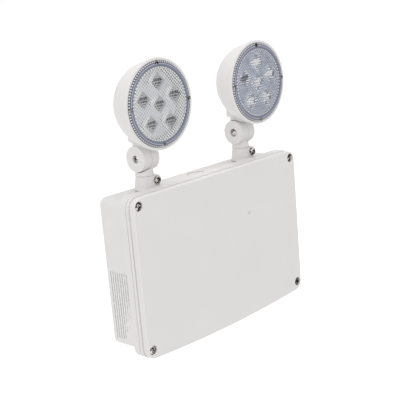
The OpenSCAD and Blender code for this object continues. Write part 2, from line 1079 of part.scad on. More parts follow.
module knuckle_boss() {
  translate([0, 0, boss_up])
    cylinder(r = boss_r, h = lamp_axis_up - boss_up);
  difference() {
    cylinder(r = neck_r, h = boss_up);
    across(-half_gap, knuckle_w, knuckle_r + drum_gap);
  }
  across(-knuckle_w / 2, -half_gap, knuckle_r);
}

module shell_posts() {
  intersection() {
    union() {
      lens_screw_places()
        translate([0, 0, -lens_seat - screw_boss_d])
          cylinder(r = screw_boss_r, h = screw_boss_d, $fn = small_fn);
      plate_post_places()
        translate([0, 0, -dome_back - shell_r])
          cylinder(r = plate_post_r, h = dome_back + shell_r - plate_back);
    }
    rotate_extrude()
      intersection() {
        translate([0, -dome_back])
          circle(shell_r - shell_wall / 2);
        translate([0, -dome_back - shell_r])
          square([shell_r, shell_r + dome_back - lens_seat]);
      }
  }
  plate_post_places()
    translate([0, 0, -plate_back])
      cylinder(r = stake_r, h = stake_h, $fn = small_fn);
}

module shell_drum_cuts() {
  across(-knuckle_w, overrun, bolt_r + fit_clearance);
  across(-half_gap - wire_cavity_d, overrun, wire_cavity_r);
  across(-knuckle_w, -knuckle_w / 2 + bolt_recess_d, bolt_recess_r);
  translate([0, 0, wire_cavity_r / 2])
    cylinder(r = stem_bore_r, h = lead_hole_up - wire_cavity_r / 2);
}

module left_lamp_shell() {
  lamp_shell(left);
}

module right_lamp_shell() {
  lamp_shell(right);
}

module lens_gasket(side) {
  color("dimgray")
    at_lamp(side)
      difference() {
        translate([0, 0, -lens_seat])
          difference() {
            cylinder(r = lens_r, h = lens_gasket_t);
            translate([0, 0, -overrun])
              cylinder(r = lens_r - lens_land, h = lens_gasket_t + 2 * overrun);
          }
        lens_screw_places()
          translate([0, 0, -lens_seat - overrun])
            cylinder(r = lens_screw_r, h = lens_seat, $fn = small_fn);
      }
}

module left_lens_gasket() {
  lens_gasket(left);
}

module right_lens_gasket() {
  lens_gasket(right);
}

// Lens: flange with a raised ring, and a window that is set back a little
module lens(side) {
  color("lightblue", 0.5)
    at_lamp(side)
      difference() {
        rotate_extrude() {
          translate([lens_window_r, -lens_t])
            square([lens_r - lens_window_r, lens_t]);
          translate([0, -window_step - lens_window_t])
            square([lens_window_r, lens_window_t]);
          translate([lens_ridge_r - lens_ridge_w / 2, -lens_t])
            square([lens_ridge_w, lens_t + lens_ridge_h]);
        }
        lens_screw_places() {
          translate([0, 0, -lens_t - overrun])
            cylinder(r = lens_screw_r, h = lens_t + 2 * overrun, $fn = small_fn);
          translate([0, 0, -lens_screw_sink])
            cylinder(r = lens_screw_head_r + hole_gap, h = lens_screw_sink + overrun, $fn = small_fn);
        }
      }
}

module left_lens() {
  lens(left);
}

module right_lens() {
  lens(right);
}

module lens_screws(side) {
  color("silver")
    at_lamp(side)
      lens_screw_places()
        translate([0, 0, -lens_screw_sink])
          pan_screw(lens_screw_r, lens_screw_l - lens_screw_sink, lens_screw_head_r, lens_screw_head_h,
                  $fn = small_fn);
}

module left_lens_screws() {
  lens_screws(left);
}

module right_lens_screws() {
  lens_screws(right);
}

// Emitters: one in the middle and a ring round it, the first at the top
module led_places() {
  children();
  for (i = [0:ring_leds - 1]) {
    rotate([0, 0, 90 + 360 * i / ring_leds])
      translate([led_ring_r, 0, 0])
        rotate([0, 0, -90 - 360 * i / ring_leds])
          children();
  }
}

module led_plate(side) {
  color("gainsboro")
    at_lamp(side)
      difference() {
        translate([0, 0, -plate_back])
          cylinder(r = plate_r, h = plate_t);
        translate([0, 0, -plate_back - overrun]) {
          plate_post_places()
            cylinder(r = stake_r, h = plate_t + 2 * overrun, $fn = small_fn);
          translate([0, -led_ring_r / 2, 0])
            cylinder(r = plate_lead_r, h = plate_t + 2 * overrun, $fn = small_fn);
        }
      }
}

module left_led_plate() {
  led_plate(left);
}

module right_led_plate() {
  led_plate(right);
}

module led_board(side) {
  color("white")
    at_lamp(side)
      difference() {
        translate([0, 0, plate_t - plate_back])
          cylinder(r = led_board_r, h = led_board_t);
        plate_post_places()
          translate([0, 0, -plate_back])
            cylinder(r = stake_r, h = plate_t + led_board_t + overrun, $fn = small_fn);
      }
}

module left_led_board() {
  led_board(left);
}

module right_led_board() {
  led_board(right);
}

module led_chips(side) {
  color("gold")
    at_lamp(side)
      translate([0, 0, plate_t + led_board_t - plate_back])
        led_places() {
          translate([-chip_w / 2, -chip_w / 2, 0])
            cube([chip_w, chip_w, chip_t]);
          translate([0, 0, chip_t / 2])
            cylinder(r = chip_dome_r, h = chip_t, $fn = small_fn);
        }
}

module left_led_chips() {
  led_chips(left);
}

module right_led_chips() {
  led_chips(right);
}

module led_optics(side) {
  color("lightcyan", 0.6)
    at_lamp(side)
      translate([0, 0, plate_t + led_board_t - plate_back])
        led_places()
          difference() {
            union() {
              cylinder(r1 = optic_foot_r, r2 = optic_r, h = optic_h);
              translate([0, 0, optic_h])
                cylinder(r = optic_r, h = optic_rim_h);
            }
            translate([0, 0, -overrun])
              cylinder(r = optic_pocket_r, h = optic_pocket_d + overrun, $fn = small_fn);
          }
}

module left_led_optics() {
  led_optics(left);
}

module right_led_optics() {
  led_optics(right);
}

// Lead inside the lamp, from the knuckle's bore into the hole in the plate
module lamp_lead(side) {
  color("gray")
    at_tilt(side)
      wire([
        [0, 0, boss_up],
        [0, 0, lead_hole_up],
        [0, plate_back - plate_t - lens_forward + wire_gap, lead_hole_up]
      ], lead_r);
}

module left_lamp_lead() {
  lamp_lead(left);
}

module right_lamp_lead() {
  lamp_lead(right);
}

// Test button with its bezel and switch, and the pilot light beside it
module at_button() {
  translate([button_x, -control_from_wall, -housing_top])
    children();
}

module button_bezel() {
  color("dimgray")
    at_button()
      difference() {
        union() {
          translate([0, 0, -bezel_t])
            cylinder(r = bezel_r, h = bezel_t);
          cylinder(r = barrel_r, h = housing_wall + barrel_l);
        }
        translate([0, 0, -bezel_t - overrun])
          cylinder(r = button_r + button_clearance, h = bezel_t + housing_wall + barrel_l + 2 * overrun);
      }
}

module test_button() {
  color("firebrick")
    at_button()
      translate([0, 0, -bezel_t - button_proud])
        cylinder(r = button_r, h = button_l);
}

module button_switch() {
  switch_z = housing_wall + barrel_l;
  button_top = button_l - bezel_t - button_proud;
  color("black")
    at_button()
      difference() {
        translate([-switch_w / 2, -switch_w / 2, switch_z])
          cube([switch_w, switch_w, switch_h]);
        translate([0, 0, switch_z - overrun])
          cylinder(r = button_r + turn_gap, h = button_top + button_travel + turn_gap - switch_z + overrun);
      }
}

module pilot_lens() {
  color("limegreen")
    translate([button_x - pilot_pitch, -control_from_wall, -housing_top]) {
      translate([0, 0, -pilot_flange_t])
        cylinder(r = pilot_flange_r, h = pilot_flange_t, $fn = small_fn);
      translate([0, 0, -pilot_proud])
        cylinder(r = pilot_r - turn_gap, h = pilot_proud, $fn = small_fn);
      cylinder(r = pilot_r, h = housing_wall + pilot_proud, $fn = small_fn);
    }
}

// Battery, which stands on the bottom wall against the floor of the housing
module battery() {
  seam_z = battery_z + battery_h - battery_lid_h;
  color("darkslategray")
    difference() {
      translate([battery_x, -housing_wall - battery_t, battery_z])
        cube([battery_l, battery_t, battery_h]);
      difference() {
        translate([battery_x - overrun, -housing_wall - battery_t - overrun, seam_z])
          cube([battery_l + 2 * overrun, battery_t + 2 * overrun, battery_seam]);
        translate([battery_x + battery_seam, -housing_wall - battery_t + battery_seam, seam_z])
          cube([battery_l - 2 * battery_seam, battery_t - 2 * battery_seam, battery_seam]);
      }
    }
}

function terminal_x(side) = battery_x + battery_l / 2 + side * (battery_l / 2 - terminal_inset);
terminal_y = -housing_wall - battery_t / 2;
terminal_top = battery_z + battery_h + terminal_base_h + tab_h;

module battery_terminals() {
  color("silver")
    for (side = [left, right]) {
      translate([terminal_x(side), terminal_y, battery_z + battery_h]) {
        translate([-terminal_base_w / 2, -terminal_base_w / 2, 0])
          cube([terminal_base_w, terminal_base_w, terminal_base_h]);
        translate([-tab_w / 2, -tab_t / 2, 0])
          cube([tab_w, tab_t, terminal_base_h + tab_h]);
      }
    }
}

module battery_strap() {
  seat = housing_wall + strap_boss_h;
  front = housing_wall + battery_t;
  color("silver")
    difference() {
      translate([0, 0, strap_z - strap_w / 2]) {
        translate([battery_x - strap_t, -front - strap_t, 0])
          cube([battery_l + 2 * strap_t, strap_t, strap_w]);
        for (x = [battery_x - strap_t, battery_x + battery_l]) {
          translate([x, -front - strap_t, 0])
            cube([strap_t, front + strap_t - seat, strap_w]);
        }
        for (x = [battery_x - strap_t - strap_foot, battery_x + battery_l + strap_t]) {
          translate([x, -seat - strap_t, 0])
            cube([strap_foot, strap_t, strap_w]);
        }
      }
      strap_feet()
        outward(0, seat - overrun, 0)
          cylinder(r = strap_screw_r, h = strap_t + 2 * overrun, $fn = small_fn);
    }
}

module strap_screws() {
  color("silver")
    strap_feet()
      outward(0, housing_wall + strap_boss_h + strap_t, 0)
        pan_screw(strap_screw_r, strap_t + screw_hole_d - overrun, strap_head_r, strap_head_h, $fn = small_fn);
}

// Charger board and its parts
module charger_board() {
  color("seagreen")
    difference() {
      translate([board_x, -board_front, board_z])
        cube([board_w, board_t, board_h]);
      board_corners()
        outward(0, board_back - overrun, 0)
          cylinder(r = board_screw_r, h = board_t + 2 * overrun, $fn = small_fn);
    }
}

module board_screws() {
  color("silver")
    board_corners()
      outward(0, board_front, 0)
        pan_screw(board_screw_r, board_t + screw_hole_d - overrun, board_head_r, board_head_h, $fn = small_fn);
}

// Places a part on the board by its shares of the board's width and height
module on_board(share) {
  translate([board_x + share[0] * board_w, -board_front, board_z + share[1] * board_h])
    children();
}

module board_relay() {
  color("navy")
    on_board(relay_share)
      translate([0, -relay_d, 0])
        cube([relay_w, relay_d, relay_h]);
}

module board_capacitors() {
  color("midnightblue")
    for (share = capacitor_shares) {
      on_board(share)
        rotate([90, 0, 0])
          cylinder(r = capacitor_r, h = capacitor_l);
    }
}

module board_heat_sink() {
  fin_pitch = (sink_w - sink_fin_t) / (sink_fins - 1);
  color("darkgray")
    on_board(sink_share) {
      translate([0, -sink_base, 0])
        cube([sink_w, sink_base, sink_h]);
      for (i = [0:sink_fins - 1]) {
        translate([i * fin_pitch, -sink_d, 0])
          cube([sink_fin_t, sink_d, sink_h]);
      }
    }
}

// Wire port i of the terminal block, at its top face
function port(i) = [
  board_x + port_first + i * port_pitch,
  -board_front - block_d / 2,
  board_top + wire_gap
];

module board_terminals() {
  color("mediumseagreen")
    difference() {
      translate([board_x + block_margin, -board_front - block_d, board_top - block_h])
        cube([block_w, block_d, block_h]);
      for (i = [0:port_count - 1]) {
        translate([port(i)[0], -board_front - block_d, board_top - block_h / 2])
          rotate([90, 0, 0])
            translate([0, 0, -port_screw_d])
              cylinder(r = port_screw_r, h = port_screw_d + overrun, $fn = small_fn);
      }
    }
}

module board_fuse() {
  color("silver")
    on_board(fuse_share)
      translate([-fuse_l / 2, -fuse_up, 0]) {
        rotate([0, 90, 0])
          cylinder(r = fuse_r - fuse_glass_step, h = fuse_l, $fn = small_fn);
        for (x = [0, fuse_l - fuse_cap_l]) {
          translate([x, 0, 0])
            rotate([0, 90, 0])
              cylinder(r = fuse_r, h = fuse_cap_l, $fn = small_fn);
          translate([x, 0, -fuse_r])
            cube([fuse_cap_l, fuse_up, 2 * fuse_r]);
        }
      }
}

// Transformer: core with two windows and a coil round its middle leg
module transformer_core() {
  color("slategray")
    difference() {
      translate([core_x - core_w / 2, -core_back - core_d, core_z - core_h / 2])
        cube([core_w, core_d, core_h]);
      for (side = [left, right]) {
        translate([core_x + side * (core_leg + core_window_w) / 2, -core_back - core_d / 2, core_z])
          cube([core_window_w, core_d + 2 * overrun, core_window_h], center = true);
      }
      core_corners()
        outward(0, core_back - overrun, 0)
          cylinder(r = core_screw_r, h = core_d + 2 * overrun, $fn = small_fn);
    }
}

module transformer_coil() {
  coil_w = core_leg + 2 * (core_window_w - coil_clearance);
  coil_h = core_window_h - 2 * coil_clearance;
  color("peru")
    translate([core_x, -core_back - core_d / 2, core_z])
      difference() {
        cube([coil_w, core_d + 2 * coil_bulge, coil_h], center = true);
        cube([core_leg + 2 * coil_clearance, core_d + 2 * coil_clearance, coil_h + 2 * overrun], center = true);
      }
}

module transformer_screws() {
  color("silver")
    core_corners()
      outward(0, core_back + core_d, 0)
        pan_screw(core_screw_r, core_d + screw_hole_d - overrun, core_head_r, core_head_h, $fn = small_fn);
}

// Wires inside the housing
module battery_lead_red() {
  start = [terminal_x(right), terminal_y, terminal_top + wire_gap];
  color("red")
    wire([
      start,
      [start[0], start[1], board_top + red_rise],
      [port(0)[0], port(0)[1], board_top + red_rise],
      port(0)
    ], wire_r);
}

module battery_lead_black() {
  start = [terminal_x(left), terminal_y, terminal_top + wire_gap];
  color("black")
    wire([
      start,
      [start[0], start[1], board_top + black_rise],
      [port(1)[0], start[1], board_top + black_rise],
      port(1)
    ], wire_r);
}

module lamp_leads() {
  stem_end = housing_top + collar_top;
  color("gray") {
    wire([
      port(3),
      [port(3)[0], port(3)[1], board_top + high_cable_rise],
      [-head_spacing / 2, -head_from_wall, board_top + high_cable_rise],
      [-head_spacing / 2, -head_from_wall, stem_end]
    ], cable_r);
    wire([
      port(4),
      [port(4)[0], port(4)[1], board_top + low_cable_rise],
      [head_spacing / 2, -head_from_wall, board_top + low_cable_rise],
      [head_spacing / 2, -head_from_wall, stem_end]
    ], cable_r);
  }
}

module board_leads() {
  feed_x = core_x + core_leg / 2;
  feed_top = core_z - core_window_h / 2;
  switch_top = -housing_top + housing_wall + barrel_l + switch_h;
  color("goldenrod") {
    wire([
      [feed_x, -feed_back, feed_top],
      [feed_x, -feed_back, board_top + feed_rise],
      [port(6)[0], port(6)[1], board_top + feed_rise],
      port(6)
    ], wire_r);
    wire([
      [button_x, -control_from_wall, switch_top + wire_gap],
      [button_x, -control_from_wall, board_z + landing_rise],
      [button_x, -board_front - wire_gap, board_z + landing_rise]
    ], wire_r);
    wire([
      [button_x - pilot_pitch, -control_from_wall, -housing_top + housing_wall + pilot_proud + wire_gap],
      [button_x - pilot_pitch, -control_from_wall, board_z + landing_rise],
      [button_x - pilot_pitch, -board_front - wire_gap, board_z + landing_rise]
    ], wire_r);
  }
}

rear_housing();
front_cover();
cover_gasket();
cover_screws();
status_window();
label_plate();
conduit_plug();
base_gaskets();
lock_nuts();
clamp_screws();
clamp_nuts();
left_swivel_base();
right_swivel_base();
left_stem();
right_stem();
left_knuckle_nut();
right_knuckle_nut();
left_knuckle_bolt();
right_knuckle_bolt();
left_lamp_shell();
right_lamp_shell();
left_lens_gasket();
right_lens_gasket();
left_lens();
right_lens();
left_lens_screws();
right_lens_screws();
left_led_plate();
right_led_plate();
left_led_board();
right_led_board();
left_led_chips();
right_led_chips();
left_led_optics();
right_led_optics();
left_lamp_lead();
right_lamp_lead();
button_bezel();
test_button();
button_switch();
pilot_lens();
battery();
battery_terminals();
battery_strap();
strap_screws();
charger_board();
board_screws();
board_relay();
board_capacitors();
board_heat_sink();
board_terminals();
board_fuse();
transformer_core();
transformer_coil();
transformer_screws();
battery_lead_red();
battery_lead_black();
lamp_leads();
board_leads();
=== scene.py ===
"""Looks of a wall-mounted emergency light: a gasketed housing with two aimable LED lamp heads."""

import json
import math

import bmesh
import bpy
from mathutils import Matrix, Vector


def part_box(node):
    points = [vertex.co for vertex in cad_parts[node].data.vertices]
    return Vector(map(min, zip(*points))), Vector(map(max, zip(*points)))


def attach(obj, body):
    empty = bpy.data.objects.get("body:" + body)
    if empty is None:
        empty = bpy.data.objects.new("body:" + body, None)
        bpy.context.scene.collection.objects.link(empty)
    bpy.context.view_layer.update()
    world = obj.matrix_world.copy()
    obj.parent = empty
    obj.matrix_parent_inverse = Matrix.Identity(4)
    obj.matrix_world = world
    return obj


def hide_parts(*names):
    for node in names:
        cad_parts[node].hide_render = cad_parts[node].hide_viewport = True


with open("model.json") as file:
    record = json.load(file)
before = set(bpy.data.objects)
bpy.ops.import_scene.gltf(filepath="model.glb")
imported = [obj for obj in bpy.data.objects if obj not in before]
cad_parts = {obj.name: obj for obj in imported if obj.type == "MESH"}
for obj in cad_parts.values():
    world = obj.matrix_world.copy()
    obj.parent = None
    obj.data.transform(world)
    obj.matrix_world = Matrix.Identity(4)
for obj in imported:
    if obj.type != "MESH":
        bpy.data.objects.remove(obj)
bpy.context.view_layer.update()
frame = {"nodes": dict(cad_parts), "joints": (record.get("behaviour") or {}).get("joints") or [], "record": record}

bl_info = {
    "name": "Emergency light",
    "version": (1, 0, 0),
    "blender": (4, 5, 0),
    "location": "3D View > Sidebar > Emergency light",
    "description": "Builds the housing, lamp heads, lenses and finishes of a twin-head emergency light",
    "category": "Object",
}

SIDES = ("left", "right")
MM = 0.001

QUARTER = math.pi / 2

# Height of the dome's middle on the lamp's axis, from the lens front
DOME_BACK = -5 * MM


def centre(node):
    low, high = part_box(node)
    return (low + high) / 2


def joint_place(name):
    for joint in frame["joints"]:
        if joint["name"] == name:
            return Vector(joint["pos_m"])
    raise RuntimeError("no joint " + name)


def length(name, description, mm):
    return bpy.props.FloatProperty(name=name, description=description, default=mm * MM, unit="LENGTH")


def angle(name, description, degrees):
    return bpy.props.FloatProperty(
        name=name, description=description, default=math.radians(degrees), subtype="ANGLE")


def colour_setting(name, description, default):
    return bpy.props.FloatVectorProperty(
        name=name, description=description, default=default, subtype="COLOR", size=3)


class HousingSizes(bpy.types.PropertyGroup):
    half_w: length("Half width", "Half the width of the rear housing", 157)
    half_h: length("Half height", "Half the height of the rear housing", 99.5)
    depth: length("Depth", "Depth from the wall to the back of the flange", 44.5)
    wall: length("Wall", "Wall thickness of the housing", 3)
    corner: length("Corner radius", "Radius of the long corners", 9.5)
    back_edge: length("Back edge radius", "Radius of the edge on the wall", 2.5)
    soft_edge: length("Soft edge", "Radius of the moulding's small edges", 0.7)
    flange_front: length("Flange front", "Distance of the flange's front from the wall", 55.5)
    pad_r: length("Pad radius", "Radius of the pad under each collar", 22)
    pad_t: length("Pad height", "Height of the pad under each collar", 0.4)


class CoverSizes(bpy.types.PropertyGroup):
    wall: length("Front wall", "Thickness of the front panel", 2.5)
    opening_w: length("Opening half width", "Half the width of the opening", 154)
    opening_h: length("Opening half height", "Half the height of the opening", 96.5)
    opening_r: length("Opening corner", "Corner radius of the opening", 24.3)
    side: length("Half width", "Half the width of the cover", 162.8)
    top: length("Top", "Height of the cover's top edge", 106.3)
    bottom: length("Bottom", "Depth of the cover's bottom corners", 108.4)
    bow: length("Bow", "How far the bottom edge bows down", 4.9)
    corner: length("Corner radius", "Corner radius of the flange and cover", 15.5)
    back: length("Back", "Distance of the cover's back from the wall", 56.1)
    step: length("Step", "Distance of the step from the wall", 60.7)
    front: length("Front", "Distance of the front from the wall", 70)
    ledge: length("Ledge", "Width of the step round the raised front", 0.9)
    groove: length("Groove", "Depth of the groove behind the step", 0.8)
    edge: length("Front edge radius", "Radius of the front edge", 2)
    screw_x: length("Screws sideways", "Distance of the cover screws from the middle", 152.5)
    screw_z: length("Screws up and down", "Height of the cover screws", 94.9)
    recess_r: length("Recess radius", "Radius of the screw recesses", 6.2)
    recess_d: length("Recess depth", "Depth of the screw recesses", 4)


class SwivelSizes(bpy.types.PropertyGroup):
    foot: length("Collar foot", "Height of the collar's foot above the housing", 1.4)
    foot_r: length("Foot radius", "Radius of the collar at its foot", 15)
    top_r: length("Top radius", "Radius of the collar at its top", 12)
    height: length("Collar height", "Height of the collar", 18)
    spigot_r: length("Spigot radius", "Radius of the spigot in the collar", 8)
    lug_depth: length("Lug depth", "Half the depth of the clamp lug", 12.5)
    lug_r: length("Lug radius", "Radius of the clamp lug", 7.2)
    clamp_x: length("Clamp sideways", "Distance of the clamp screw from the pan axis", 10)
    clamp_up: length("Clamp height", "Height of the clamp screw above the collar's foot", 10.8)
    slit: length("Slit", "Width of the clamp's slit", 1.6)
    drum_r: length("Knuckle radius", "Radius of the knuckle's drum", 17.3)
    drum_w: length("Knuckle width", "Width across the knuckle", 27.4)
    neck_r: length("Neck radius", "Radius of the neck under the knuckle", 12)
    half_gap: length("Half gap", "Distance of each drum half from the knuckle's middle", 0.15)
    drum_gap: length("Drum gap", "Gap round a drum half", 0.9)
    boss_r: length("Boss radius", "Radius of the boss under the dome", 17)
    boss_up: length("Boss height", "Height of the boss's foot above the tilt axis", 22.5)
    teeth: bpy.props.IntProperty(
        name="Teeth", description="Number of teeth round the knuckle's seam", default=40)


class HeadSizes(bpy.types.PropertyGroup):
    forward: length("Lens ahead", "Distance of the lens ahead of the tilt axis", 42.4)
    up: length("Lamp height", "Height of the lamp's centre above the tilt axis", 70.8)
    shell_r: length("Dome radius", "Radius of the domed shell", 56)
    wall: length("Shell wall", "Wall thickness of the shell", 2.5)
    lip_r: length("Lip radius", "Radius of the shell's front lip", 58)
    lens_r: length("Lens radius", "Radius of the lens flange", 53.6)
    lens_t: length("Lens thickness", "Thickness of the lens flange", 3)
    window_r: length("Window radius", "Radius of the lens window", 46.8)
    window_step: length("Window step", "How far the window is set back", 0.6)
    ridge_r: length("Ridge radius", "Radius of the ring raised on the flange", 50)
    prism: length("Prism size", "Side of one diamond prism", 3.3)
    prism_d: length("Prism depth", "Depth of the diamond prisms", 0.5)
    ribs: bpy.props.IntProperty(
        name="Edge ribs", description="Number of fine ribs round the lens edge", default=96)
    dashes: bpy.props.IntProperty(
        name="Dashes", description="Number of raised dashes round the window", default=66)
    screw_ring_r: length("Screw ring", "Radius of the ring of lens screws", 51.6)
    led_ring_r: length("Emitter ring", "Radius of the ring of emitters", 28.5)
    optic_r: length("Optic radius", "Radius of each emitter's optic", 11)
    optic_back: length("Optic foot", "Distance of the optics' feet behind the lens front", 16.4)
    optic_h: length("Optic height", "Height of each optic", 10.4)


class Finishes(bpy.types.PropertyGroup):
    housing: colour_setting("Housing", "Colour of the housing and cover", (0.80, 0.783, 0.775))
    lamp: colour_setting("Lamp heads", "Colour of the lamp shells and knuckles", (0.81, 0.795, 0.787))
    steel: colour_setting("Steel", "Colour of the stainless screws", (0.42, 0.40, 0.38))


class StageSettings(bpy.types.PropertyGroup):
    eye: bpy.props.FloatVectorProperty(
        name="Camera", description="Place of the camera", subtype="XYZ", size=3, unit="LENGTH",
        default=(-0.9049, -0.8972, 0.3678))
    yaw: angle("Yaw", "How far the camera is turned to the right", 46.148)
    pitch: angle("Pitch", "How far the camera looks down", 13.651)
    roll: angle("Roll", "How far the camera leans", 4.9015)
    lens: bpy.props.FloatProperty(
        name="Lens", description="Focal length in millimetres", default=84.17)
    floor_drop: length("Floor", "Distance of the floor below the housing", 450)
    ambient: bpy.props.FloatProperty(
        name="Ambient", description="Strength of the light from all round", default=0.72)
    key_power: bpy.props.FloatProperty(
        name="Key light", description="Power of the side light", default=16)


def settings():
    return bpy.context.scene.emergency_light


# Shapes


def new_object(name, data):
    piece = bpy.data.objects.new(name, data)
    bpy.context.scene.collection.objects.link(piece)
    return piece


def used_up(piece):
    mesh = piece.data
    bpy.data.objects.remove(piece)
    bpy.data.meshes.remove(mesh)


def quarter(steps):
    """Cosine and sine at even steps of a quarter turn, from 0."""
    return [(math.cos(a), math.sin(a)) for a in (QUARTER * k / steps for k in range(steps + 1))]


def in_mm(*points):
    return [(x * MM, y * MM) for x, y in points]


def four_ways(x, z):
    return [(sx * x, sz * z) for sx in (-1, 1) for sz in (-1, 1)]


def soften(corners, steps=5):
    """Points of an outline given as (x, y, radius) corners, each rounded by its radius."""
    points = []
    count = len(corners)
    for i, (x, y, r) in enumerate(corners):
        here = Vector((x, y))
        if r <= 0:
            points.append(here)
            continue
        before = (Vector(corners[i - 1][:2]) - here).normalized()
        after = (Vector(corners[(i + 1) % count][:2]) - here).normalized()
        half = before.angle(after) / 2
        reach = r / math.tan(half)
        middle = here + (before + after).normalized() * (r / math.sin(half))
        start = here + before * reach - middle
        end = here + after * reach - middle
        turn = math.atan2(start.x * end.y - start.y * end.x, start.dot(end))
        for k in range(steps + 1):
            points.append(middle + Matrix.Rotation(turn * k / steps, 2) @ start)
    return points


def lathe(name, profile, place, segments=96, ring=False):
    """Turns (radius, height) points round the local Z axis; place sets the result in the frame."""
    bm = bmesh.new()
    rows = []
    for r, z in profile:
        if r < 1e-7:
            rows.append([bm.verts.new((0, 0, z))])
        else:
            rows.append([bm.verts.new((r * math.cos(a), r * math.sin(a), z))
                         for a in (2 * math.pi * i / segments for i in range(segments))])
    pairs = list(zip(rows, rows[1:]))
    if ring:
        pairs.append((rows[-1], rows[0]))
    for a, b in pairs:
        for i in range(segments):
            j = (i + 1) % segments
            face = [a[i % len(a)], a[j % len(a)], b[j % len(b)], b[i % len(b)]]
            face = list(dict.fromkeys(face))
            if len(face) > 2:
                bm.faces.new(face)
    return finish_mesh(name, bm, place)


def rod(name, r, low, high, place, segments=32):
    """Cylinder between two heights on the place's Z axis."""
    return lathe(name, [(0, low), (r, low), (r, high), (0, high)], place, segments)


def loft(name, rings, place=Matrix()):
    """Skins closed rings of equal length, with both ends capped."""
    bm = bmesh.new()
    rows = [[bm.verts.new(p) for p in ring] for ring in rings]
    count = len(rows[0])
    for a, b in zip(rows, rows[1:]):
        for i in range(count):
            j = (i + 1) % count
            bm.faces.new([a[i], a[j], b[j], b[i]])
    bm.faces.new(rows[0])
    bm.faces.new(rows[-1])
    return finish_mesh(name, bm, place)


def finish_mesh(name, bm, place=Matrix()):
    bmesh.ops.remove_doubles(bm, verts=bm.verts, dist=1e-7)
    bmesh.ops.recalc_face_normals(bm, faces=bm.faces)
    mesh = bpy.data.meshes.new(name)
    bm.to_mesh(mesh)
    bm.free()
    mesh.transform(place)
    return new_object(name, mesh)


def box_shape(name, low, high, place=Matrix()):
    bm = bmesh.new()
    bmesh.ops.create_cube(bm, size=1)
    for v in bm.verts:
        v.co = Vector([low[i] if v.co[i] < 0 else high[i] for i in range(3)])
    return finish_mesh(name, bm, place)


def applied(piece):
    """Replaces a piece's mesh by its evaluated one and removes its modifiers."""
    graph = bpy.context.evaluated_depsgraph_get()
    mesh = bpy.data.meshes.new_from_object(piece.evaluated_get(graph), depsgraph=graph)
    piece.modifiers.clear()
    old = piece.data
    piece.data = mesh
    bpy.data.meshes.remove(old)
    return piece


def combine(piece, others, how):
    """Joins, cuts or trims a piece with closed shapes, which are used up."""
    for other in others:
        step = piece.modifiers.new("combine", "BOOLEAN")
        step.operation = how
        step.solver = "EXACT"
        step.object = other
    applied(piece)
    for other in others:
        used_up(other)
    return piece


def shade(piece, angle=32, weighted=True):
    mesh = piece.data
    mesh.shade_smooth()
    mesh.set_sharp_from_angle(angle=math.radians(angle))
    if weighted:
        step = piece.modifiers.new("normals", "WEIGHTED_NORMAL")
        step.keep_sharp = True
        step.weight = 100
    return piece


def finished(piece, body, slot, look, *nodes):
    """Gives a piece its finish, and says what it rides on and what it stands for. The slot is not used."""
    piece.data.materials.clear()
    piece.data.materials.append(material(look))
    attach(piece, body)
    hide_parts(*nodes)


def toward_front(x, from_wall, z):
    """Place whose Z axis points away from the wall and whose Y axis points up."""
    return Matrix.Translation((x, -from_wall, z)) @ Matrix.Rotation(QUARTER, 4, "X")


def upright(x, y, z):
    return Matrix.Translation((x, y, z))


def rim(half_w, top, bottom, r, grow=0.0, bow=0.0, steps=12, along=40):
    """Outline in X and Z with round corners, grown evenly, whose bottom edge may bow down."""
    w, up, low = half_w + grow, top + grow, bottom + grow
    reach = r + grow
    inset = half_w - r
    points = []

    def corner(x, z, start):
        for k in range(steps + 1):
            a = math.radians(start + 90 * k / steps)
            points.append((x + reach * math.cos(a), z + reach * math.sin(a)))

    corner(inset, top - r, 0)
    corner(-inset, top - r, 90)
    corner(-inset, r - bottom, 180)
    chord = inset - 3 * MM
    for k in range(1, along):
        x = -inset + 2 * inset * k / along
        z = -low
        if bow:
            arc = (chord * chord + bow * bow) / (2 * bow)
            if abs(x) < chord + 1.5 * MM:
                z = min(z, arc - bottom - bow - math.sqrt((arc + grow) ** 2 - x * x))
        points.append((x, z))
    corner(inset, r - bottom, 270)
    return points


def flat_loft(name, rings):
    """Skins outlines given with their distance from the wall."""
    return loft(name, [[(x, -from_wall, z) for x, z in outline] for outline, from_wall in rings])


def cover_rim(grow):
    c = settings().cover
    return rim(c.side, c.top, c.bottom, c.corner, grow, c.bow)


def opening_rim(grow):
    c = settings().cover
    return rim(c.opening_w, c.opening_h, c.opening_h, c.opening_r, grow)


def band(back, front, soft):
    """Outlines of a band as wide as the cover, with soft edges."""
    edge = ((soft, 0), (0.3 * soft, 0.3 * soft), (0, soft))
    near = [(cover_rim(-inset), back + up) for inset, up in edge]
    return near + [(cover_rim(-inset), front - down) for inset, down in reversed(edge)]


def sideways(spot, way=1):
    """Place whose Z axis points to the right, along X, or to the left where way is -1."""
    place = Matrix.Translation(spot) @ Matrix.Rotation(QUARTER, 4, "Y")
    return place if way > 0 else place @ Matrix.Rotation(math.pi, 4, "Y")


# Each screw: radius and height of its head, radius and length of its shank, and its drive
SCREWS = {
    "cover screw": (5.9 * MM, 3.2 * MM, 2.5 * MM, 19 * MM, "cross"),
    "clamp screw": (5.5 * MM, 3.4 * MM, 2.5 * MM, 28 * MM, "hex"),
    "lens screw": (3 * MM, 1.8 * MM, 1.5 * MM, 10.8 * MM, "cross"),
    "knuckle bolt": (4.2 * MM, 4 * MM, 2.5 * MM, 21.9 * MM, "hex"),
}


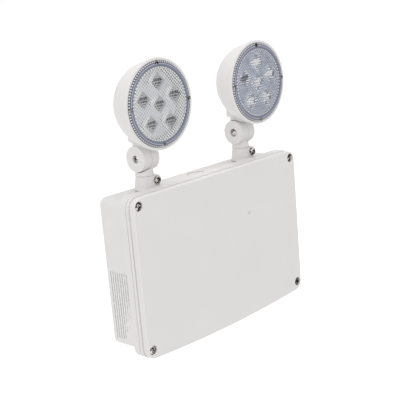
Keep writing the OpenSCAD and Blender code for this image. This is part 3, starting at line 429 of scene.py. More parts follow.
def screw_shape(name):
    """A domed screw head with its drive, and the shank below it."""
    head_r, head_h, shank_r, shank_l, drive = SCREWS[name]
    profile = [(0, -shank_l), (0.75 * shank_r, -shank_l), (shank_r, 0.5 * shank_r - shank_l), (shank_r, 0),
               (head_r * 0.96, 0), (head_r, 0.05 * head_h), (head_r, 0.32 * head_h)]
    profile += [(head_r * c, head_h * (0.32 + 0.68 * s)) for c, s in quarter(8)[1:-1]]
    profile.append((0, head_h))
    head = lathe(name, profile, Matrix(), 40)
    deep, high = 0.35 * head_h, 1.5 * head_h
    if drive == "cross":
        long, thin = 0.55 * head_r, 0.14 * head_r
        cuts = [box_shape("cut", (-long, -thin, deep), (long, thin, high)),
                box_shape("cut", (-thin, -long, deep), (thin, long, high))]
    else:
        cuts = [rod("cut", 0.5 * head_r, deep, high, Matrix(), 6)]
    return shade(combine(head, cuts, "DIFFERENCE"), 30, weighted=False)


def lamp_place(side):
    """Place of one lamp: its Z axis points out of the lens and its Y axis points up."""
    head = settings().head
    hinge = joint_place(side + "_tilt")
    return toward_front(hinge.x, head.forward - hinge.y, hinge.z + head.up)


def ring_points(count, radius, start=0.0):
    for i in range(count):
        a = start + 2 * math.pi * i / count
        yield Vector((radius * math.cos(a), radius * math.sin(a), 0))


def dome_middle(side):
    return lamp_place(side) @ Vector((0, 0, DOME_BACK))


def optic_spots():
    head = settings().head
    return [Vector()] + list(ring_points(5, head.led_ring_r, QUARTER))


def merged(name, pieces):
    """One piece with the meshes of several, which are used up."""
    bm = bmesh.new()
    for piece in pieces:
        bm.from_mesh(piece.data)
    mesh = bpy.data.meshes.new(name)
    bm.to_mesh(mesh)
    bm.free()
    for piece in pieces:
        used_up(piece)
    return new_object(name, mesh)


def placed_copy(name, piece, place):
    mesh = piece.data.copy()
    mesh.transform(place)
    return new_object(name, mesh)


# Node trees


def new_node(tree, kind, links=(), **values):
    """Adds a node; links gives some of its inputs, each a socket or a plain value."""
    node = tree.nodes.new(kind)
    for key, value in values.items():
        setattr(node, key, value)
    for socket, source in dict(links).items():
        if hasattr(source, "is_linked"):
            tree.links.new(source, node.inputs[socket])
        else:
            node.inputs[socket].default_value = source
    return node


class Tree:
    """A geometry node tree, with short calls to name its inputs and to add and link its nodes."""

    def __init__(self, name):
        self.group = bpy.data.node_groups.new(name, "GeometryNodeTree")
        self.group.interface.new_socket(name="Geometry", in_out="INPUT", socket_type="NodeSocketGeometry")
        self.group.interface.new_socket(name="Geometry", in_out="OUTPUT", socket_type="NodeSocketGeometry")
        self.start = self.group.nodes.new("NodeGroupInput")
        self.end = self.group.nodes.new("NodeGroupOutput")
        self.keys = {}

    def size(self, name, kind):
        socket = self.group.interface.new_socket(name=name, in_out="INPUT", socket_type="NodeSocket" + kind)
        self.keys[name] = socket.identifier
        return self.start.outputs[name]

    def add(self, kind, links=(), **values):
        return new_node(self.group, kind, links, **values)

    def close(self, geometry, finish):
        real = self.add("GeometryNodeRealizeInstances", {"Geometry": geometry})
        look = self.add("GeometryNodeSetMaterial", {"Geometry": real.outputs[0], "Material": finish})
        self.group.links.new(look.outputs[0], self.end.inputs[0])

    def run(self, piece, **inputs):
        """Puts the tree on a piece, sets its inputs, and keeps the result as a plain mesh."""
        step = piece.modifiers.new(self.group.name, "NODES")
        step.node_group = self.group
        for name, value in inputs.items():
            step[self.keys[name]] = value
        return applied(piece)


def marks_tree():
    """Equal small blocks in a ring about the local Z axis, each turned to face away from it."""
    if "ring of marks" in bpy.data.node_groups:
        return TREES["ring of marks"]
    tree = Tree("ring of marks")
    count, radius = tree.size("Count", "Int"), tree.size("Radius", "Float")
    block, finish = tree.size("Block", "Vector"), tree.size("Finish", "Material")
    ring = tree.add("GeometryNodeMeshCircle", {"Vertices": count, "Radius": radius})
    place = tree.add("GeometryNodeInputPosition")
    turn = tree.add("FunctionNodeAlignRotationToVector", {"Vector": place.outputs[0]},
                    axis="X", pivot_axis="Z")
    cube = tree.add("GeometryNodeMeshCube", {"Size": block})
    marks = tree.add("GeometryNodeInstanceOnPoints", {
        "Points": ring.outputs[0], "Instance": cube.outputs[0], "Rotation": turn.outputs[0]})
    tree.close(marks.outputs[0], finish)
    TREES["ring of marks"] = tree
    return tree


def screws_tree():
    """One screw head on each point, facing the front, each turned by its own random angle."""
    if "screws" in bpy.data.node_groups:
        return TREES["screws"]
    tree = Tree("screws")
    head, seed = tree.size("Head", "Object"), tree.size("Seed", "Int")
    finish = tree.size("Finish", "Material")
    shape = tree.add("GeometryNodeObjectInfo", {"Object": head})
    spin = tree.add("FunctionNodeRandomValue", {"Seed": seed}, data_type="FLOAT")
    spin.inputs[3].default_value = 2 * math.pi
    turn = tree.add("ShaderNodeCombineXYZ", {"X": QUARTER})
    own = tree.add("ShaderNodeCombineXYZ", {"Z": spin.outputs[1]})
    base = tree.add("FunctionNodeEulerToRotation", {"Euler": turn.outputs[0]})
    twist = tree.add("FunctionNodeEulerToRotation", {"Euler": own.outputs[0]})
    both = tree.add("FunctionNodeRotateRotation", {
        "Rotation": base.outputs[0], "Rotate By": twist.outputs[0]}, rotation_space="LOCAL")
    heads = tree.add("GeometryNodeInstanceOnPoints", {
        "Points": tree.start.outputs[0], "Instance": shape.outputs["Geometry"], "Rotation": both.outputs[0]})
    tree.close(heads.outputs[0], finish)
    TREES["screws"] = tree
    return tree


TREES = {}


def ring_of_marks(name, count, radius, block, place, finish):
    piece = new_object(name, bpy.data.meshes.new(name))
    marks_tree().run(piece, Count=count, Radius=radius, Block=block, Finish=finish)
    piece.data.transform(place)
    return piece


def screws_at(node, points, head, seed, body, look):
    """One screw of a head's shape on each point, as a finished piece."""
    mesh = bpy.data.meshes.new(node)
    mesh.from_pydata(points, [], [])
    piece = new_object(node[:-1] + "_set", mesh)
    screws_tree().run(piece, Head=head, Seed=seed, Finish=material(look))
    finished(piece, body, "stainless", look, node)


# Materials


class Nodes:
    """A material's node tree, with short calls to add and link nodes."""

    def __init__(self, name):
        self.material = bpy.data.materials.new(name)
        self.material.use_nodes = True
        self.tree = self.material.node_tree
        self.tree.nodes.clear()
        self.shader = self.add("ShaderNodeBsdfPrincipled")
        self.add("ShaderNodeOutputMaterial", {0: self.shader.outputs[0]})
        self.coords = self.add("ShaderNodeTexCoord").outputs["Object"]

    def add(self, kind, links=(), **values):
        return new_node(self.tree, kind, links, **values)

    def feed(self, socket, source):
        self.tree.links.new(source, self.shader.inputs[socket])

    def set(self, **values):
        for key, value in values.items():
            self.shader.inputs[key].default_value = value

    def noise(self, scale, detail=2.0, coords=None):
        return self.add("ShaderNodeTexNoise", {
            "Scale": scale, "Detail": detail, "Vector": coords or self.coords}).outputs["Fac"]

    def spread(self, value, low, high, start=0.3, end=0.7):
        return self.add("ShaderNodeMapRange", {
            "Value": value, "From Min": start, "From Max": end,
            "To Min": low, "To Max": high}).outputs["Result"]

    def blend(self, fac, a, b):
        """Each of the two colours is a socket or a tuple."""
        a, b = ((*look, 1) if isinstance(look, tuple) else look for look in (a, b))
        return self.add("ShaderNodeMix", {0: fac, 6: a, 7: b}, data_type="RGBA").outputs[2]

    def math(self, how, *values):
        """A maths node's result; each value is a socket or a number."""
        return self.add("ShaderNodeMath", dict(enumerate(values)), operation=how).outputs[0]

    def times(self, first, *others):
        for other in others:
            first = self.math("MULTIPLY", first, other)
        return first

    def mapped(self, **values):
        """Coordinates moved and stretched by a Location and a Scale."""
        return self.add("ShaderNodeMapping", {"Vector": self.coords, **values}).outputs[0]

    def axes(self, coords=None):
        split = self.add("ShaderNodeSeparateXYZ", {0: coords or self.coords})
        return [split.outputs[axis] for axis in "XYZ"]

    def colour(self, source):
        self.feed("Base Color", source)

    def mottle(self, scale, detail, colour, low, high):
        """Base colour that wanders between low and high times the colour."""
        wander = self.spread(self.noise(scale, detail), 0, 1)
        self.colour(self.blend(wander, shade_of(colour, low), shade_of(colour, high)))

    def gloss(self, scale, detail, low, high):
        self.feed("Roughness", self.spread(self.noise(scale, detail), low, high))

    def bump(self, height, strength, distance):
        node = self.add("ShaderNodeBump", {"Height": height, "Strength": strength, "Distance": distance})
        self.feed("Normal", node.outputs[0])


def shade_of(colour, k):
    return tuple(min(1.0, c * k) for c in colour)


def moulded_plastic(name, colour, rough=0.42, mottle=0.012, grain=0.04):
    """Satin moulded plastic: a fine grain, a slow change of tone and of gloss."""
    n = Nodes(name)
    n.mottle(14, 3, colour, 1 - mottle, 1 + mottle)
    n.gloss(60, 3, rough - 0.04, rough + 0.05)
    n.bump(n.noise(2600, 2), grain, 0.00008)
    n.set(IOR=1.48)
    return n.material


def bare_metal(name, colour, rough=0.25, scale=900):
    """Bright metal with fine scratches and a slight stain."""
    n = Nodes(name)
    n.mottle(220, 3, colour, 0.86, 1.08)
    n.gloss(scale, 3, rough - 0.08, rough + 0.1)
    n.bump(n.noise(scale * 3, 2), 0.12, 0.00003)
    n.set(Metallic=1.0)
    return n.material


def steel_with_painted_reflections(name, colour, patches=330):
    """Stainless steel whose colour carries painted reflections: bright patches, and dark ones between them."""
    n = Nodes(name)
    # Painted reflections: noise patches between nearly black and bright steel
    painted_reflection = n.spread(n.noise(patches, 1), 0, 1, 0.45, 0.56)
    n.colour(n.blend(painted_reflection, shade_of(colour, 0.08), shade_of(colour, 1.6)))
    n.gloss(900, 3, 0.16, 0.34)
    n.bump(n.noise(2400, 2), 0.12, 0.00003)
    n.set(Metallic=1.0)
    return n.material


def soft_rubber(name, colour):
    n = Nodes(name)
    n.mottle(900, 4, colour, 0.8, 1.15)
    n.gloss(300, 3, 0.7, 0.9)
    n.bump(n.noise(1800, 3), 0.3, 0.0001)
    return n.material


def clear_plastic(name, tint, alpha, rough=0.08):
    """Clear moulding: mostly seen through, with a faint haze."""
    n = Nodes(name)
    n.mottle(120, 3, tint, 0.96, 1.04)
    n.gloss(400, 2, rough * 0.7, rough * 1.4)
    n.set(IOR=1.52, Alpha=alpha)
    return n.material


def prism_window(name, tint, centre, pitch, back, spots, border_r, painted_sparkle_strength, rows=0, cloud=0.97):
    """Window with diamond prisms on its front, each clear in its middle and cloudy along its edges.

    The prisms over the optics, whose places are the spots, are clearer, and those beyond border_r are greyer.
    Rows is the height of a row of ripples, or 0 for none. Near the optics they carry painted white glint.
    Every face beyond back belongs to the flat rear, which is clear.
    """
    n = Nodes(name)
    x, y, z = n.axes(n.mapped(Location=(-centre.x, 0, -centre.z)))
    near = n.math("MINIMUM", *(n.math("PINGPONG", n.math(how, x, z), pitch * math.sqrt(2) / 2)
                               for how in ("ADD", "SUBTRACT")))
    # Painted highlight and shade in fine specks: noise that makes the window's colour lighter and darker, as light
    # glinting in the prisms
    painted_sparkle = n.spread(n.noise(230, 2, coords=n.mapped(Scale=(0.7, 1, 1.6))), 0, 1, 0.38, 0.62)
    reach = 1.0
    for spot in spots:
        sides = [n.math("ABSOLUTE", n.math("SUBTRACT", value, at))
                 for value, at in ((x, spot.x - MM), (z, spot.y))]
        reach = n.math("MINIMUM", reach, n.math("ADD", *sides))
    glint = 0.0
    if rows:
        waves = n.math("ADD", z, n.times(n.noise(70, 1), 5 * MM))
        ripple = n.spread(n.math("PINGPONG", waves, rows / 2), 0, 1, 0, rows / 2)
        painted_sparkle = n.math("ADD", n.times(painted_sparkle, 0.45), n.times(ripple, 0.55))
        broken = n.spread(n.noise(170, 1), 0, 1, 0.46, 0.54)
        near_optic = n.spread(reach, 1, 0, 12 * MM, 17 * MM)
        # Painted glint: white and opaque where the ripples crest near the optics
        glint = n.times(n.spread(ripple, 0, 1, 0.45, 0.7), broken, near_optic)
    look = n.blend(painted_sparkle, shade_of(tint, 1 - painted_sparkle_strength), shade_of(tint, 1 + painted_sparkle_strength))
    border = n.spread(n.math("SQRT", n.math("ADD", n.times(x, x), n.times(z, z))), 0, 1,
                      border_r - 0.4 * MM, border_r + 0.4 * MM)
    look = n.blend(border, look, shade_of(tint, 0.45))
    n.colour(n.blend(glint, look, (1.0, 1.0, 1.0)) if rows else look)
    lines = n.math("MAXIMUM", n.spread(near, cloud, 0, 0.17 * pitch, 0.31 * pitch), n.times(border, 0.8))
    over = n.spread(reach, 0.28, 1, 8 * MM, 14 * MM)
    solid = n.math("MAXIMUM", n.times(lines, over), glint)
    n.feed("Alpha", n.times(solid, n.math("LESS_THAN", y, back)))
    n.gloss(300, 2, 0.08, 0.2)
    n.set(IOR=1.55)
    return n.material


def lamp_shell_plastic(name, colour, inside, centre, r):
    """Lamp plastic whose inside, nearer to the dome's centre than r, is silvered."""
    n = Nodes(name)
    away = n.add("ShaderNodeVectorMath", {0: n.coords, 1: centre}, operation="DISTANCE")
    deep = n.math("GREATER_THAN", n.axes()[1], centre.y - 4 * MM)
    inner = n.times(n.math("LESS_THAN", away.outputs["Value"], r), deep)
    outer = n.blend(n.spread(n.noise(9, 3), 0, 1), shade_of(colour, 0.99), shade_of(colour, 1.01))
    n.colour(n.blend(inner, outer, inside))
    n.gloss(700, 3, 0.34, 0.40)
    n.bump(n.noise(2600, 2), 0.025, 0.00004)
    return n.material


def ringed_flange(name, centre, tones, alpha):
    """Clear flange whose colour comes in rings, both its tint over its seat and painted shade and highlight: tones
    gives (radius, colour) from the inside out.
    """
    n = Nodes(name)
    spot = n.mapped(Location=(-centre.x, 0, -centre.z), Scale=(1, 0, 1))
    reach = n.add("ShaderNodeVectorMath", {0: spot}, operation="LENGTH")
    low, high = tones[0][0], tones[-1][0]
    ramp = n.add("ShaderNodeValToRGB", {0: n.spread(reach.outputs["Value"], 0, 1, low, high)})
    stops = ramp.color_ramp.elements
    while len(stops) < len(tones):
        stops.new(0.5)
    for stop, (radius, tone) in zip(stops, tones):
        stop.position = (radius - low) / (high - low)
        stop.color = (*tone, 1)
    n.colour(ramp.outputs[0])
    n.gloss(300, 2, 0.1, 0.2)
    n.set(IOR=1.55, Alpha=alpha)
    return n.material


def circuit_board(name, mask, copper):
    """Solder mask over faint tracks."""
    n = Nodes(name)
    brick = n.add("ShaderNodeTexBrick", {"Scale": 60, "Mortar Size": 0.02, "Vector": n.coords}, offset=0.5)
    n.colour(n.blend(brick.outputs["Fac"], mask, copper))
    n.gloss(200, 2, 0.3, 0.45)
    return n.material


def ruled_film(name, paper, ink, pitch, line, top, foot):
    """Matt film with fine broken lines, which run up and down and grow sparse from top to foot."""
    n = Nodes(name)
    _, across, up = n.axes()
    under = n.spread(n.math("PINGPONG", across, pitch / 2), 1, 0, 0.3 * line, 0.7 * line)
    breaks = n.noise(520, 1, coords=n.mapped(Scale=(0, 2.6, 0.4)))
    lower = n.spread(up, 0, 1, top, foot)
    outer = n.spread(across, 1, 0, -34 * MM, -18 * MM)
    least = n.spread(n.times(lower, outer), 0.38, 0.66, 0.25, 0.75)
    n.colour(n.blend(n.times(under, n.math("GREATER_THAN", breaks, least)), paper, ink))
    n.gloss(300, 2, 0.5, 0.62)
    return n.material


# Plain plastics: colour, roughness, how much the tone varies, and grain where it isn't the usual one
PLASTICS = {
    "black plastic": ((0.03, 0.03, 0.032), 0.5, 0.1),
    "red plastic": ((0.50, 0.03, 0.02), 0.3, 0.05),
    "battery case": ((0.05, 0.06, 0.07), 0.55, 0.1, 0.2),
    "relay blue": ((0.03, 0.08, 0.30), 0.35, 0.05),
    "capacitor sleeve": ((0.02, 0.03, 0.10), 0.3, 0.05),
    "terminal green": ((0.06, 0.30, 0.10), 0.45, 0.05),
    "coil tape": ((0.45, 0.25, 0.08), 0.4, 0.08),
    "wire red": ((0.50, 0.02, 0.02), 0.4, 0.05),
    "wire black": ((0.02, 0.02, 0.02), 0.4, 0.1),
    "wire yellow": ((0.65, 0.42, 0.04), 0.4, 0.05),
    "cable grey": ((0.35, 0.35, 0.36), 0.45, 0.05),
    "phosphor": ((0.75, 0.62, 0.16), 0.5, 0.05),
    "optic cup": ((0.62, 0.64, 0.70), 0.3),
    # The right optic and facet below are darker, bluer copies of the left ones: painted shade inside the right
    # lamp
    "left optic": ((0.50, 0.51, 0.54), 0.3, 0.05),
    "right optic": ((0.30, 0.33, 0.40), 0.3, 0.05),
    "left facet": ((0.56, 0.57, 0.59), 0.3, 0.2),
    "right facet": ((0.40, 0.42, 0.48), 0.3, 0.1),
    "status window": ((0.66, 0.65, 0.66), 0.25, 0.04),
    # White bars in the right lamp's optics: painted glint
    "optic glint": ((1.0, 1.0, 1.0), 0.2, 0.0),
    "optic core": ((0.03, 0.03, 0.035), 0.3, 0.2),
}

# The other fixed finishes: how each is made, and its colours and figures
FIXED = {
    "zinc steel": (bare_metal, (0.55, 0.56, 0.58), 0.35),
    "aluminium": (bare_metal, (0.50, 0.51, 0.54), 0.4, 500),
    "core varnish": (bare_metal, (0.16, 0.17, 0.18), 0.5, 300),
    "foam rubber": (soft_rubber, (0.36, 0.33, 0.28)),
    "lens gasket": (soft_rubber, (0.42, 0.43, 0.52)),
    "plug seal": (soft_rubber, (0.50, 0.40, 0.35)),
    "green lens": (clear_plastic, (0.05, 0.45, 0.12), 0.85),
    "lens clear": (clear_plastic, (0.58, 0.60, 0.74), 0.55),
    # Near-white and nearly opaque, for the clear lens's edge ribs and dashes: painted highlight
    "lens edge": (clear_plastic, (0.97, 0.97, 1.0), 0.95),
    "green board": (circuit_board, (0.02, 0.16, 0.07), (0.04, 0.24, 0.10)),
    # The right board is a darker, bluer copy of the white board: painted shade inside the right lamp
    "right board": (circuit_board, (0.22, 0.25, 0.36), (0.18, 0.21, 0.32)),
    "white board": (circuit_board, (0.57, 0.59, 0.72), (0.51, 0.53, 0.66)),
    "ruled label": (ruled_film, (0.82, 0.81, 0.80), (0.40, 0.39, 0.39), 4.2 * MM, 1.5 * MM, 0, -88 * MM),
}

# Tones of the lens flange by their distance from the lamp's middle: the clear flange's tint over its seat, with
# painted shade at its inner and outer edges and as dark lines beside the ridge, and a painted highlight on the
# ridge
FLANGE_TINT_AND_PAINTED_LIGHT = (
    (46.8 * MM, (0.10, 0.11, 0.18)), (47.5 * MM, (0.17, 0.19, 0.27)), (48.6 * MM, (0.22, 0.24, 0.33)),
    (49.4 * MM, (0.10, 0.11, 0.17)), (49.8 * MM, (0.52, 0.54, 0.63)), (50.4 * MM, (0.46, 0.48, 0.58)),
    (50.9 * MM, (0.11, 0.12, 0.18)), (52.0 * MM, (0.15, 0.16, 0.23)), (52.4 * MM, (0.05, 0.05, 0.07)),
    (53.6 * MM, (0.06, 0.06, 0.07)))

# Each window's tint, the strength of its painted specks of highlight, and the height of its rows of ripples, which
# carry painted glint. The right window is painted bluer and darker, with stronger specks: painted shade and
# highlight
WINDOW_LOOKS = {"left": ((1.0, 1.0, 1.0), 0.1, 0), "right": ((0.60, 0.64, 0.80), 0.38, 3.3 * MM)}
SILVER = (0.40, 0.41, 0.44)
FLANGE_ALPHA = 0.96


def lamp_finish(name, side, kind):
    """The finishes that are laid round the middle of one lamp."""
    head, lens = settings().head, side + "_lens"
    if kind == "shell":
        lamp = tuple(settings().finishes.lamp)
        return lamp_shell_plastic(name, lamp, SILVER, dome_middle(side), head.shell_r - head.wall / 2)
    if kind == "flange":
        return ringed_flange(name, centre(lens), FLANGE_TINT_AND_PAINTED_LIGHT, FLANGE_ALPHA)
    tint, painted_sparkle_strength, rows = WINDOW_LOOKS[side]
    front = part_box("left_lens")[0].y + 2 * MM
    return prism_window(name, tint, centre(lens), head.prism, front, optic_spots(), head.window_r - 2.4 * MM,
                        painted_sparkle_strength, rows)


def material(name):
    """Each finish of the object, made once and then shared."""
    if name in bpy.data.materials:
        return bpy.data.materials[name]
    if name in PLASTICS:
        return moulded_plastic(name, *PLASTICS[name])
    if name in FIXED:
        return FIXED[name][0](name, *FIXED[name][1:])
    looks = settings().finishes
    steel = tuple(looks.steel)
    set_by_user = {
        "housing plastic": (moulded_plastic, tuple(looks.housing)),
        "lamp plastic": (moulded_plastic, tuple(looks.lamp), 0.36, 0.012, 0.025),
        # The steel finishes carry painted reflections; the cover and lens screws' copies are painted darker, for
        # their darker reflections
        "stainless steel": (steel_with_painted_reflections, steel),
        "cover screw steel": (steel_with_painted_reflections, shade_of(steel, 0.9), 270),
        "lens screw steel": (steel_with_painted_reflections, shade_of(steel, 0.6), 480),
    }
    if name in set_by_user:
        return set_by_user[name][0](name, *set_by_user[name][1:])
    return lamp_finish(name, *name.split())


SLOT_MATERIALS = {
    "housing_plastic": "housing plastic", "lamp_plastic": "lamp plastic", "lens_clear": "lens clear",
    "optic_clear": "optic cup", "label_white": "ruled label", "stainless": "stainless steel",
    "zinc_steel": "zinc steel", "gasket_rubber": "foam rubber", "lamp_metal": "aluminium",
    "board_white": "white board", "led_yellow": "phosphor", "black_plastic": "black plastic",
    "button_red": "red plastic", "pilot_green": "green lens", "battery_grey": "battery case",
    "board_green": "green board", "relay_blue": "relay blue", "capacitor_blue": "capacitor sleeve",
    "terminal_green": "terminal green", "core_steel": "core varnish", "coil_copper": "coil tape",
    "wire_red": "wire red", "wire_black": "wire black", "cable_grey": "cable grey",
    "wire_yellow": "wire yellow",
}


# Operators


class PaintPieces(bpy.types.Operator):
    """Gives every CAD piece its finish"""
    bl_idname = "emergency_light.paint_pieces"
    bl_label = "Paint the CAD pieces"

    def execute(self, context):
        for part in frame["record"]["subparts"]:
            piece = frame["nodes"][part["node"]]
            name = SLOT_MATERIALS[part["material_slot"]]
            if part["node"].endswith("lens_gasket"):
                name = "lens gasket"
            # The right lamp's board takes its darker copy: painted shade
            if part["node"] == "right_led_board":
                name = "right board"
            piece.data.materials.clear()
            piece.data.materials.append(material(name))
        return {"FINISHED"}


# The holes for the wall screws
WALL_SCREW_INSET = 11 * MM
WALL_SCREW_Z = 75 * MM
WALL_SCREW_R = 2.75 * MM

# The hole for a collar's nipple
NIPPLE_HOLE_R = 9.7 * MM

# The posts inside: whose screws they hold, those heads' radius, the post's radius and height, and its bore
POSTS = (("strap_screws", 3.5 * MM, 4.5 * MM, 5 * MM, 1.9 * MM),
         ("board_screws", 2.8 * MM, 3.5 * MM, 8 * MM, 1.5 * MM),
         ("transformer_screws", 3.5 * MM, 4 * MM, 13 * MM, 1.9 * MM))
POST_BORE_D = 6 * MM


class BuildHousing(bpy.types.Operator):
    """Builds the rear housing: a tub with a flange, the pads for the collars, and its holes and posts"""
    bl_idname = "emergency_light.build_housing"
    bl_label = "Rear housing"

    def tub(self, h):
        back, soft, deep = h.back_edge, h.soft_edge, h.depth
        seat_in, seat_out, seat_d = 1.2 * MM, 3.7 * MM, 2 * MM

        def side(grow):
            return rim(h.half_w, h.half_h, h.half_h, h.corner, grow)

        def inside(grow):
            return rim(h.half_w - h.wall, h.half_h - h.wall, h.half_h - h.wall, h.corner - h.wall, grow)

        rings = [(side(-back * (1 - s)), back * (1 - c)) for c, s in quarter(6)]
        rings += [(side(0), deep - 0.3 * MM), (side(0.3 * MM), deep)]
        rings += band(deep, h.flange_front, soft)
        front = h.flange_front
        rings += [(opening_rim(seat_out), front), (opening_rim(seat_out), front - seat_d),
                  (opening_rim(seat_in), front - seat_d), (opening_rim(seat_in), front),
                  (opening_rim(0.3 * MM), front), (opening_rim(0), front - 0.3 * MM),
                  (opening_rim(0), deep - MM)]
        rings += [(inside(0), deep - MM), (inside(0), h.wall + MM), (inside(-0.3 * MM), h.wall + 0.3 * MM),
                  (inside(-MM), h.wall)]
        return flat_loft("tub", rings)

    def post(self, x, z, r, height, wall):
        soft = 0.4 * MM
        profile = [(0, -0.5 * wall), (r, -0.5 * wall), (r, height - soft), (r - soft, height), (0, height)]
        return lathe("post", profile, toward_front(x, wall, z), 32)

    def hole(self, x, z, r, start, end):
        return rod("hole", r, 0, end - start, toward_front(x, start, z))

    def corners(self, node, inset):
        low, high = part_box(node)
        return [(x, z) for x in (low.x + inset, high.x - inset)
                for z in sorted({round(low.z + inset, 5), round(high.z - inset, 5)})]

    def execute(self, context):
        h, c = settings().housing, settings().cover
        piece = self.tub(h)
        adds = []
        for side in SIDES:
            pan = joint_place(side + "_pan")
            r, t = h.pad_r, h.pad_t
            pad = [(0, -0.5 * h.wall), (r, -0.5 * h.wall), (r, t - 0.2 * MM), (r - 0.25 * MM, t), (0, t)]
            adds.append(lathe("pad", pad, upright(pan.x, pan.y, h.half_h), 96))
        holes = []
        for x, z in four_ways(h.half_w - WALL_SCREW_INSET, WALL_SCREW_Z):
            adds.append(self.post(x, z, 9 * MM, 2 * MM, h.wall))
            holes.append(self.hole(x, z, WALL_SCREW_R, -MM, h.wall + 3 * MM))
        for node, inset, r, height, bore in POSTS:
            for x, z in self.corners(node, inset):
                adds.append(self.post(x, z, r, height, h.wall))
                top = h.wall + height
                holes.append(self.hole(x, z, bore, top - POST_BORE_D, top + MM))
        combine(piece, [merged("adds", adds)], "UNION")
        for x, z in four_ways(c.screw_x, c.screw_z):
            holes.append(self.hole(x, z, 2.5 * MM, h.flange_front - 10 * MM, h.flange_front + MM))
        deep = h.wall + MM
        for side in SIDES:
            pan = joint_place(side + "_pan")
            holes.append(rod("hole", NIPPLE_HOLE_R, -deep, MM, upright(pan.x, pan.y, h.half_h), 64))
        plug = centre("conduit_plug")
        entry = [(0, -deep), (13.6 * MM, -deep)]
        entry += in_mm((13.6, -1.2), (15.2, -1.2), (15.2, -0.3), (15.5, 0.05), (15.5, 1), (0, 1))
        holes.append(lathe("entry", entry, upright(plug.x, plug.y, h.half_h), 96))
        for node, r in (("test_button", 6.6 * MM), ("pilot_lens", 4 * MM)):
            spot = centre(node)
            holes.append(rod("hole", r, -MM, deep, upright(spot.x, spot.y, -h.half_h), 48))
        combine(piece, [merged("holes", holes)], "DIFFERENCE")
        piece.name = "housing_moulding"
        finished(shade(piece), "housing", "housing_plastic", "housing plastic", "rear_housing")
        return {"FINISHED"}


# Width of the shadow groove behind the raised front
GROOVE_W = 1.7 * MM


class BuildCover(bpy.types.Operator):
    """Builds the front cover: an outer band, a shadow groove and a raised front with a rounded edge"""
    bl_idname = "emergency_light.build_cover"
    bl_label = "Front cover"

    def execute(self, context):
        c = settings().cover
        soft, floor, inner = 0.45 * MM, c.front - c.wall, -c.ledge - c.groove - 0.5 * MM
        rings = [(opening_rim(0), floor), (opening_rim(0), c.back + 0.3 * MM),
                 (opening_rim(0.3 * MM), c.back)]
        rings += band(c.back, c.step, soft)
        lid = c.step + GROOVE_W
        rings += [(cover_rim(inner), c.step), (cover_rim(inner), lid), (cover_rim(-c.ledge - 0.2 * MM), lid),
                  (cover_rim(-c.ledge), lid + 0.2 * MM)]
        rings += [(cover_rim(-c.ledge - c.edge * (1 - cos)), c.front - c.edge * (1 - sin))
                  for cos, sin in quarter(8)]
        piece = flat_loft("cover_moulding", rings)
        spots = four_ways(c.screw_x, c.screw_z)
        stops = [rod("stop", 4 * MM, 0, MM, toward_front(x, c.back - 0.6 * MM, z)) for x, z in spots]
        combine(piece, [merged("stops", stops)], "UNION")
        r, d = c.recess_r, c.recess_d
        recess = [(0, c.back - c.front - 2 * MM), (2.5 * MM, c.back - c.front - 2 * MM), (2.5 * MM, -d),
                  (r - 0.3 * MM, -d), (r, 0.3 * MM - d), (r, -0.6 * MM), (r + 0.05 * MM, -0.3 * MM),
                  (r + 0.25 * MM, -0.08 * MM), (r + 0.6 * MM, 0.02 * MM), (r + 0.6 * MM, MM), (0, MM)]
        cuts = [lathe("recess", recess, toward_front(x, c.front, z), 64) for x, z in spots]
        eye = centre("status_window")
        hole = [(0, -2 * c.wall), (2.4 * MM, -2 * c.wall), (2.4 * MM, -0.7 * MM), (2.8 * MM, -0.7 * MM),
                (2.8 * MM, MM), (0, MM)]
        cuts.append(lathe("hole", hole, toward_front(eye.x, c.front, eye.z), 32))
        combine(piece, [merged("cuts", cuts)], "DIFFERENCE")
        finished(shade(piece), "housing", "housing_plastic", "housing plastic", "front_cover")
        return {"FINISHED"}


# Depth of a lens screw's seat
LENS_SEAT_D = 1.2 * MM

# Each knuckle: the way that the stem's half points along X, and what the bolt needs
STEM_WAY = {"left": 1, "right": -1}
BOLT_BORE_R = 2.56 * MM
BOLT_RECESS_D = 4.6 * MM
NUT_RECESS_D = 4.8 * MM

# The room for the lamp's wires: a space in the middle of the knuckle, and a way that ends short of the bolt
WIRE_SPACE_R = 9.5 * MM
WIRE_SPACE_D = 4 * MM
WIRE_WAY_R = 4 * MM
WIRE_WAY_GAP = 4.7 * MM


